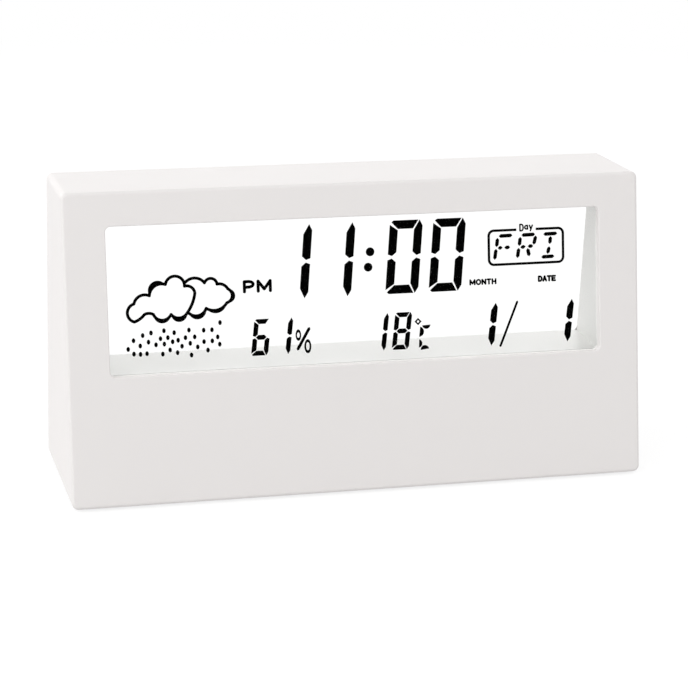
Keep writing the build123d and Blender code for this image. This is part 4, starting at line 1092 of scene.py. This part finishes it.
class CLOCK_OT_inner_parts(bpy.types.Operator):
    """Finishes of the boards, contacts, wires, screws, light and battery cells"""

    bl_idname = "desk_clock.inner_parts"
    bl_label = "Inner parts"

    def execute(self, context):
        look = context.scene.clock_battery
        for slot_name, finish in METALS.items():
            repaint(slot_name, metal(slot_name, *finish))
        repaint("board", circuit("board", BOARD_MASK, BOARD_METAL))
        repaint("ribbon", ribbon("ribbon", RIBBON_COLOUR, RIBBON_GROOVE_SHADE, RIBBON_PITCH))
        for slot_name, finish in INNER_PLASTICS.items():
            repaint(slot_name, moulded(slot_name, *finish))
        for slot_name, colour in LIGHT_PARTS.items():
            repaint(slot_name, milky(slot_name, colour))
        for name, part in frame["nodes"].items():
            if NODE_SLOTS[name] == "cell_jacket":
                paint(part, self.wrap_for(name, part, look))
        return {"FINISHED"}

    def wrap_for(self, name, part, look):
        """The wrap of one cell, with its ring at the end that has the narrow nub."""
        tip_run = 0.5 * MM
        nub_share = 0.6
        low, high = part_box(name)
        points = np.empty(len(part.data.vertices) * 3)
        part.data.vertices.foreach_get("co", points)
        points = points.reshape(-1, 3)
        tip = points[points[:, 0] > high.x - tip_run]
        nub_side = 1.0 if np.ptp(tip[:, 1]) < nub_share * (high.y - low.y) else -1.0
        return cell_wrap(
            name + "_wrap", low, high, nub_side, look.wrap_colour, look.ring_colour, CAN_COLOUR
        )


class CLOCK_OT_studio(bpy.types.Operator):
    """Camera, lamps, pale floor and plain surroundings"""

    bl_idname = "desk_clock.studio"
    bl_label = "Studio"

    def execute(self, context):
        look = context.scene.clock_studio
        self.camera(context, look)
        self.lamp("key_lamp", look.key_power, KEY_LAMP_PLACE)
        self.lamp("fill_lamp", look.fill_power, FILL_LAMP_PLACE)
        self.lamp("back_lamp", look.back_power, BACK_LAMP_PLACE)
        self.floor(look)
        self.surroundings(context, look)
        context.scene.view_settings.view_transform = "Standard"
        return {"FINISHED"}

    def camera(self, context, look):
        """Camera whose forward is (sin h cos d, cos h cos d, -sin d), rolled about that line."""
        heading, dip, roll = look.heading, look.dip, look.roll
        forward = Vector(
            (math.sin(heading) * math.cos(dip), math.cos(heading) * math.cos(dip), -math.sin(dip))
        )
        level = Vector((math.cos(heading), -math.sin(heading), 0.0))
        up = level.cross(forward)
        right = math.cos(roll) * level + math.sin(roll) * up
        over = math.cos(roll) * up - math.sin(roll) * level
        turn = Matrix((right, over, -forward)).transposed()
        data = bpy.data.cameras.new("camera")
        data.sensor_width = FILM_WIDTH
        data.lens = look.lens
        data.clip_start = VIEW_NEAR
        data.clip_end = VIEW_FAR
        camera = bpy.data.objects.new("camera", data)
        camera.matrix_world = Matrix.Translation(look.camera_place) @ turn.to_4x4()
        context.scene.collection.objects.link(camera)
        context.scene.camera = camera

    def lamp(self, name, power, place):
        """A wide soft lamp that faces the clock."""
        data = bpy.data.lights.new(name, "AREA")
        data.energy = power
        data.shape = "RECTANGLE"
        data.size = LAMP_WIDTH
        data.size_y = LAMP_HEIGHT
        lamp = bpy.data.objects.new(name, data)
        lamp.visible_camera = False
        lamp.location = place
        aim = Vector(CLOCK_MIDDLE) - Vector(place)
        lamp.rotation_euler = aim.to_track_quat("-Z", "Y").to_euler()
        bpy.context.scene.collection.objects.link(lamp)

    def floor(self, look):
        """A level square: (x, y) on a grid, z = 0. Seen directly it is white, and keeps the shadow.

        The shadow fades with away = (distance from the clock - start) / width of the fade, 0 to 1.
        """
        side = np.linspace(-FLOOR_REACH, FLOOR_REACH, FLOOR_LINES)
        x, y = np.meshgrid(side, side)
        points = np.stack([x, y, np.zeros_like(x)], axis=-1).reshape(-1, 3)
        index = np.arange(x.size).reshape(x.shape)
        faces = np.stack(
            [index[:-1, :-1], index[:-1, 1:], index[1:, 1:], index[1:, :-1]], axis=-1
        ).reshape(-1, 4)
        finish = Finish("floor")
        seen = seen_directly(finish)
        grain = finish.noise(2.0, 2.0)
        pale = finish.blend(grain, *((tone,) * 3 for tone in FLOOR_TONES))
        plain = finish.add("ShaderNodeBsdfDiffuse", None, {"Color": pale})
        x, y = finish.axes()[:2]
        away = ((x**2.0 + y**2.0) ** 0.5 - FLOOR_PALE_FROM) / FLOOR_FADE
        away = away.maths("MAXIMUM", 0.0).maths("MINIMUM", 1.0)
        fading = finish.blend(away, (FLOOR_SHADE,) * 3, (0.0,) * 3)
        shaded = finish.add("ShaderNodeBsdfDiffuse", None, {"Color": fading})
        level = away * (1.0 - look.floor_level) + look.floor_level
        glow = finish.add("ShaderNodeEmission", None, {"Color": WHITE, "Strength": level})
        lit = finish.add("ShaderNodeAddShader", None, {0: shaded, 1: glow})
        mesh = bpy.data.meshes.new("floor")
        mesh.from_pydata(points.tolist(), [], faces.tolist())
        mesh.materials.append(
            finish.surface(finish.add("ShaderNodeMixShader", None, {0: seen, 1: plain, 2: lit}))
        )
        floor = bpy.data.objects.new("floor", mesh)
        bpy.context.scene.collection.objects.link(floor)

    def surroundings(self, context, look):
        """Plain light from all round, which shows as white where it is seen directly."""
        world = bpy.data.worlds.new("surroundings")
        world.use_nodes = True
        context.scene.world = world
        finish = Finish("surroundings", world.node_tree)
        seen = seen_directly(finish)
        level = seen * (1.0 - look.ambient) + look.ambient
        sky = finish.add("ShaderNodeBackground", None, {"Color": WHITE, "Strength": level})
        finish.add_output(sky, "ShaderNodeOutputWorld")


def seen_directly(finish):
    """1 for rays from the camera, from a mirror and through glass, 0 for the light on surfaces."""
    rays = [
        finish.add("ShaderNodeLightPath", output=name)
        for name in ("Is Camera Ray", "Is Glossy Ray", "Is Transmission Ray")
    ]
    return (rays[0] + rays[1] + rays[2]).maths("MINIMUM", 1.0)


OPERATORS = [
    CLOCK_OT_case_plastic,
    CLOCK_OT_display_panes,
    CLOCK_OT_display_words,
    CLOCK_OT_rear_lettering,
    CLOCK_OT_inner_parts,
    CLOCK_OT_studio,
]

LOOKS = {
    "clock_case": CaseLook,
    "clock_display": DisplayLook,
    "clock_rear": RearLook,
    "clock_battery": BatteryLook,
    "clock_studio": StudioLook,
}


class CLOCK_PT_looks(bpy.types.Panel):
    """Buttons for every piece and group of the clock's looks"""

    bl_idname = "CLOCK_PT_looks"
    bl_label = "Desk clock"
    bl_space_type = "VIEW_3D"
    bl_region_type = "UI"
    bl_category = "Desk clock"

    def draw(self, context):
        for operator in OPERATORS:
            self.layout.operator(operator.bl_idname)
        for name, look in LOOKS.items():
            box = self.layout.box()
            group = getattr(context.scene, name)
            for key in look.__annotations__:
                box.prop(group, key)


def register():
    for kind in (*LOOKS.values(), *OPERATORS, CLOCK_PT_looks):
        bpy.utils.register_class(kind)
    for name, look in LOOKS.items():
        setattr(bpy.types.Scene, name, PointerProperty(type=look))


def unregister():
    for name in LOOKS:
        delattr(bpy.types.Scene, name)
    for kind in reversed((*LOOKS.values(), *OPERATORS, CLOCK_PT_looks)):
        bpy.utils.unregister_class(kind)


def main():
    register()
    for operator in OPERATORS:
        group, name = operator.bl_idname.split(".")
        getattr(getattr(bpy.ops, group), name)()


if __name__ == "__main__":
    main()
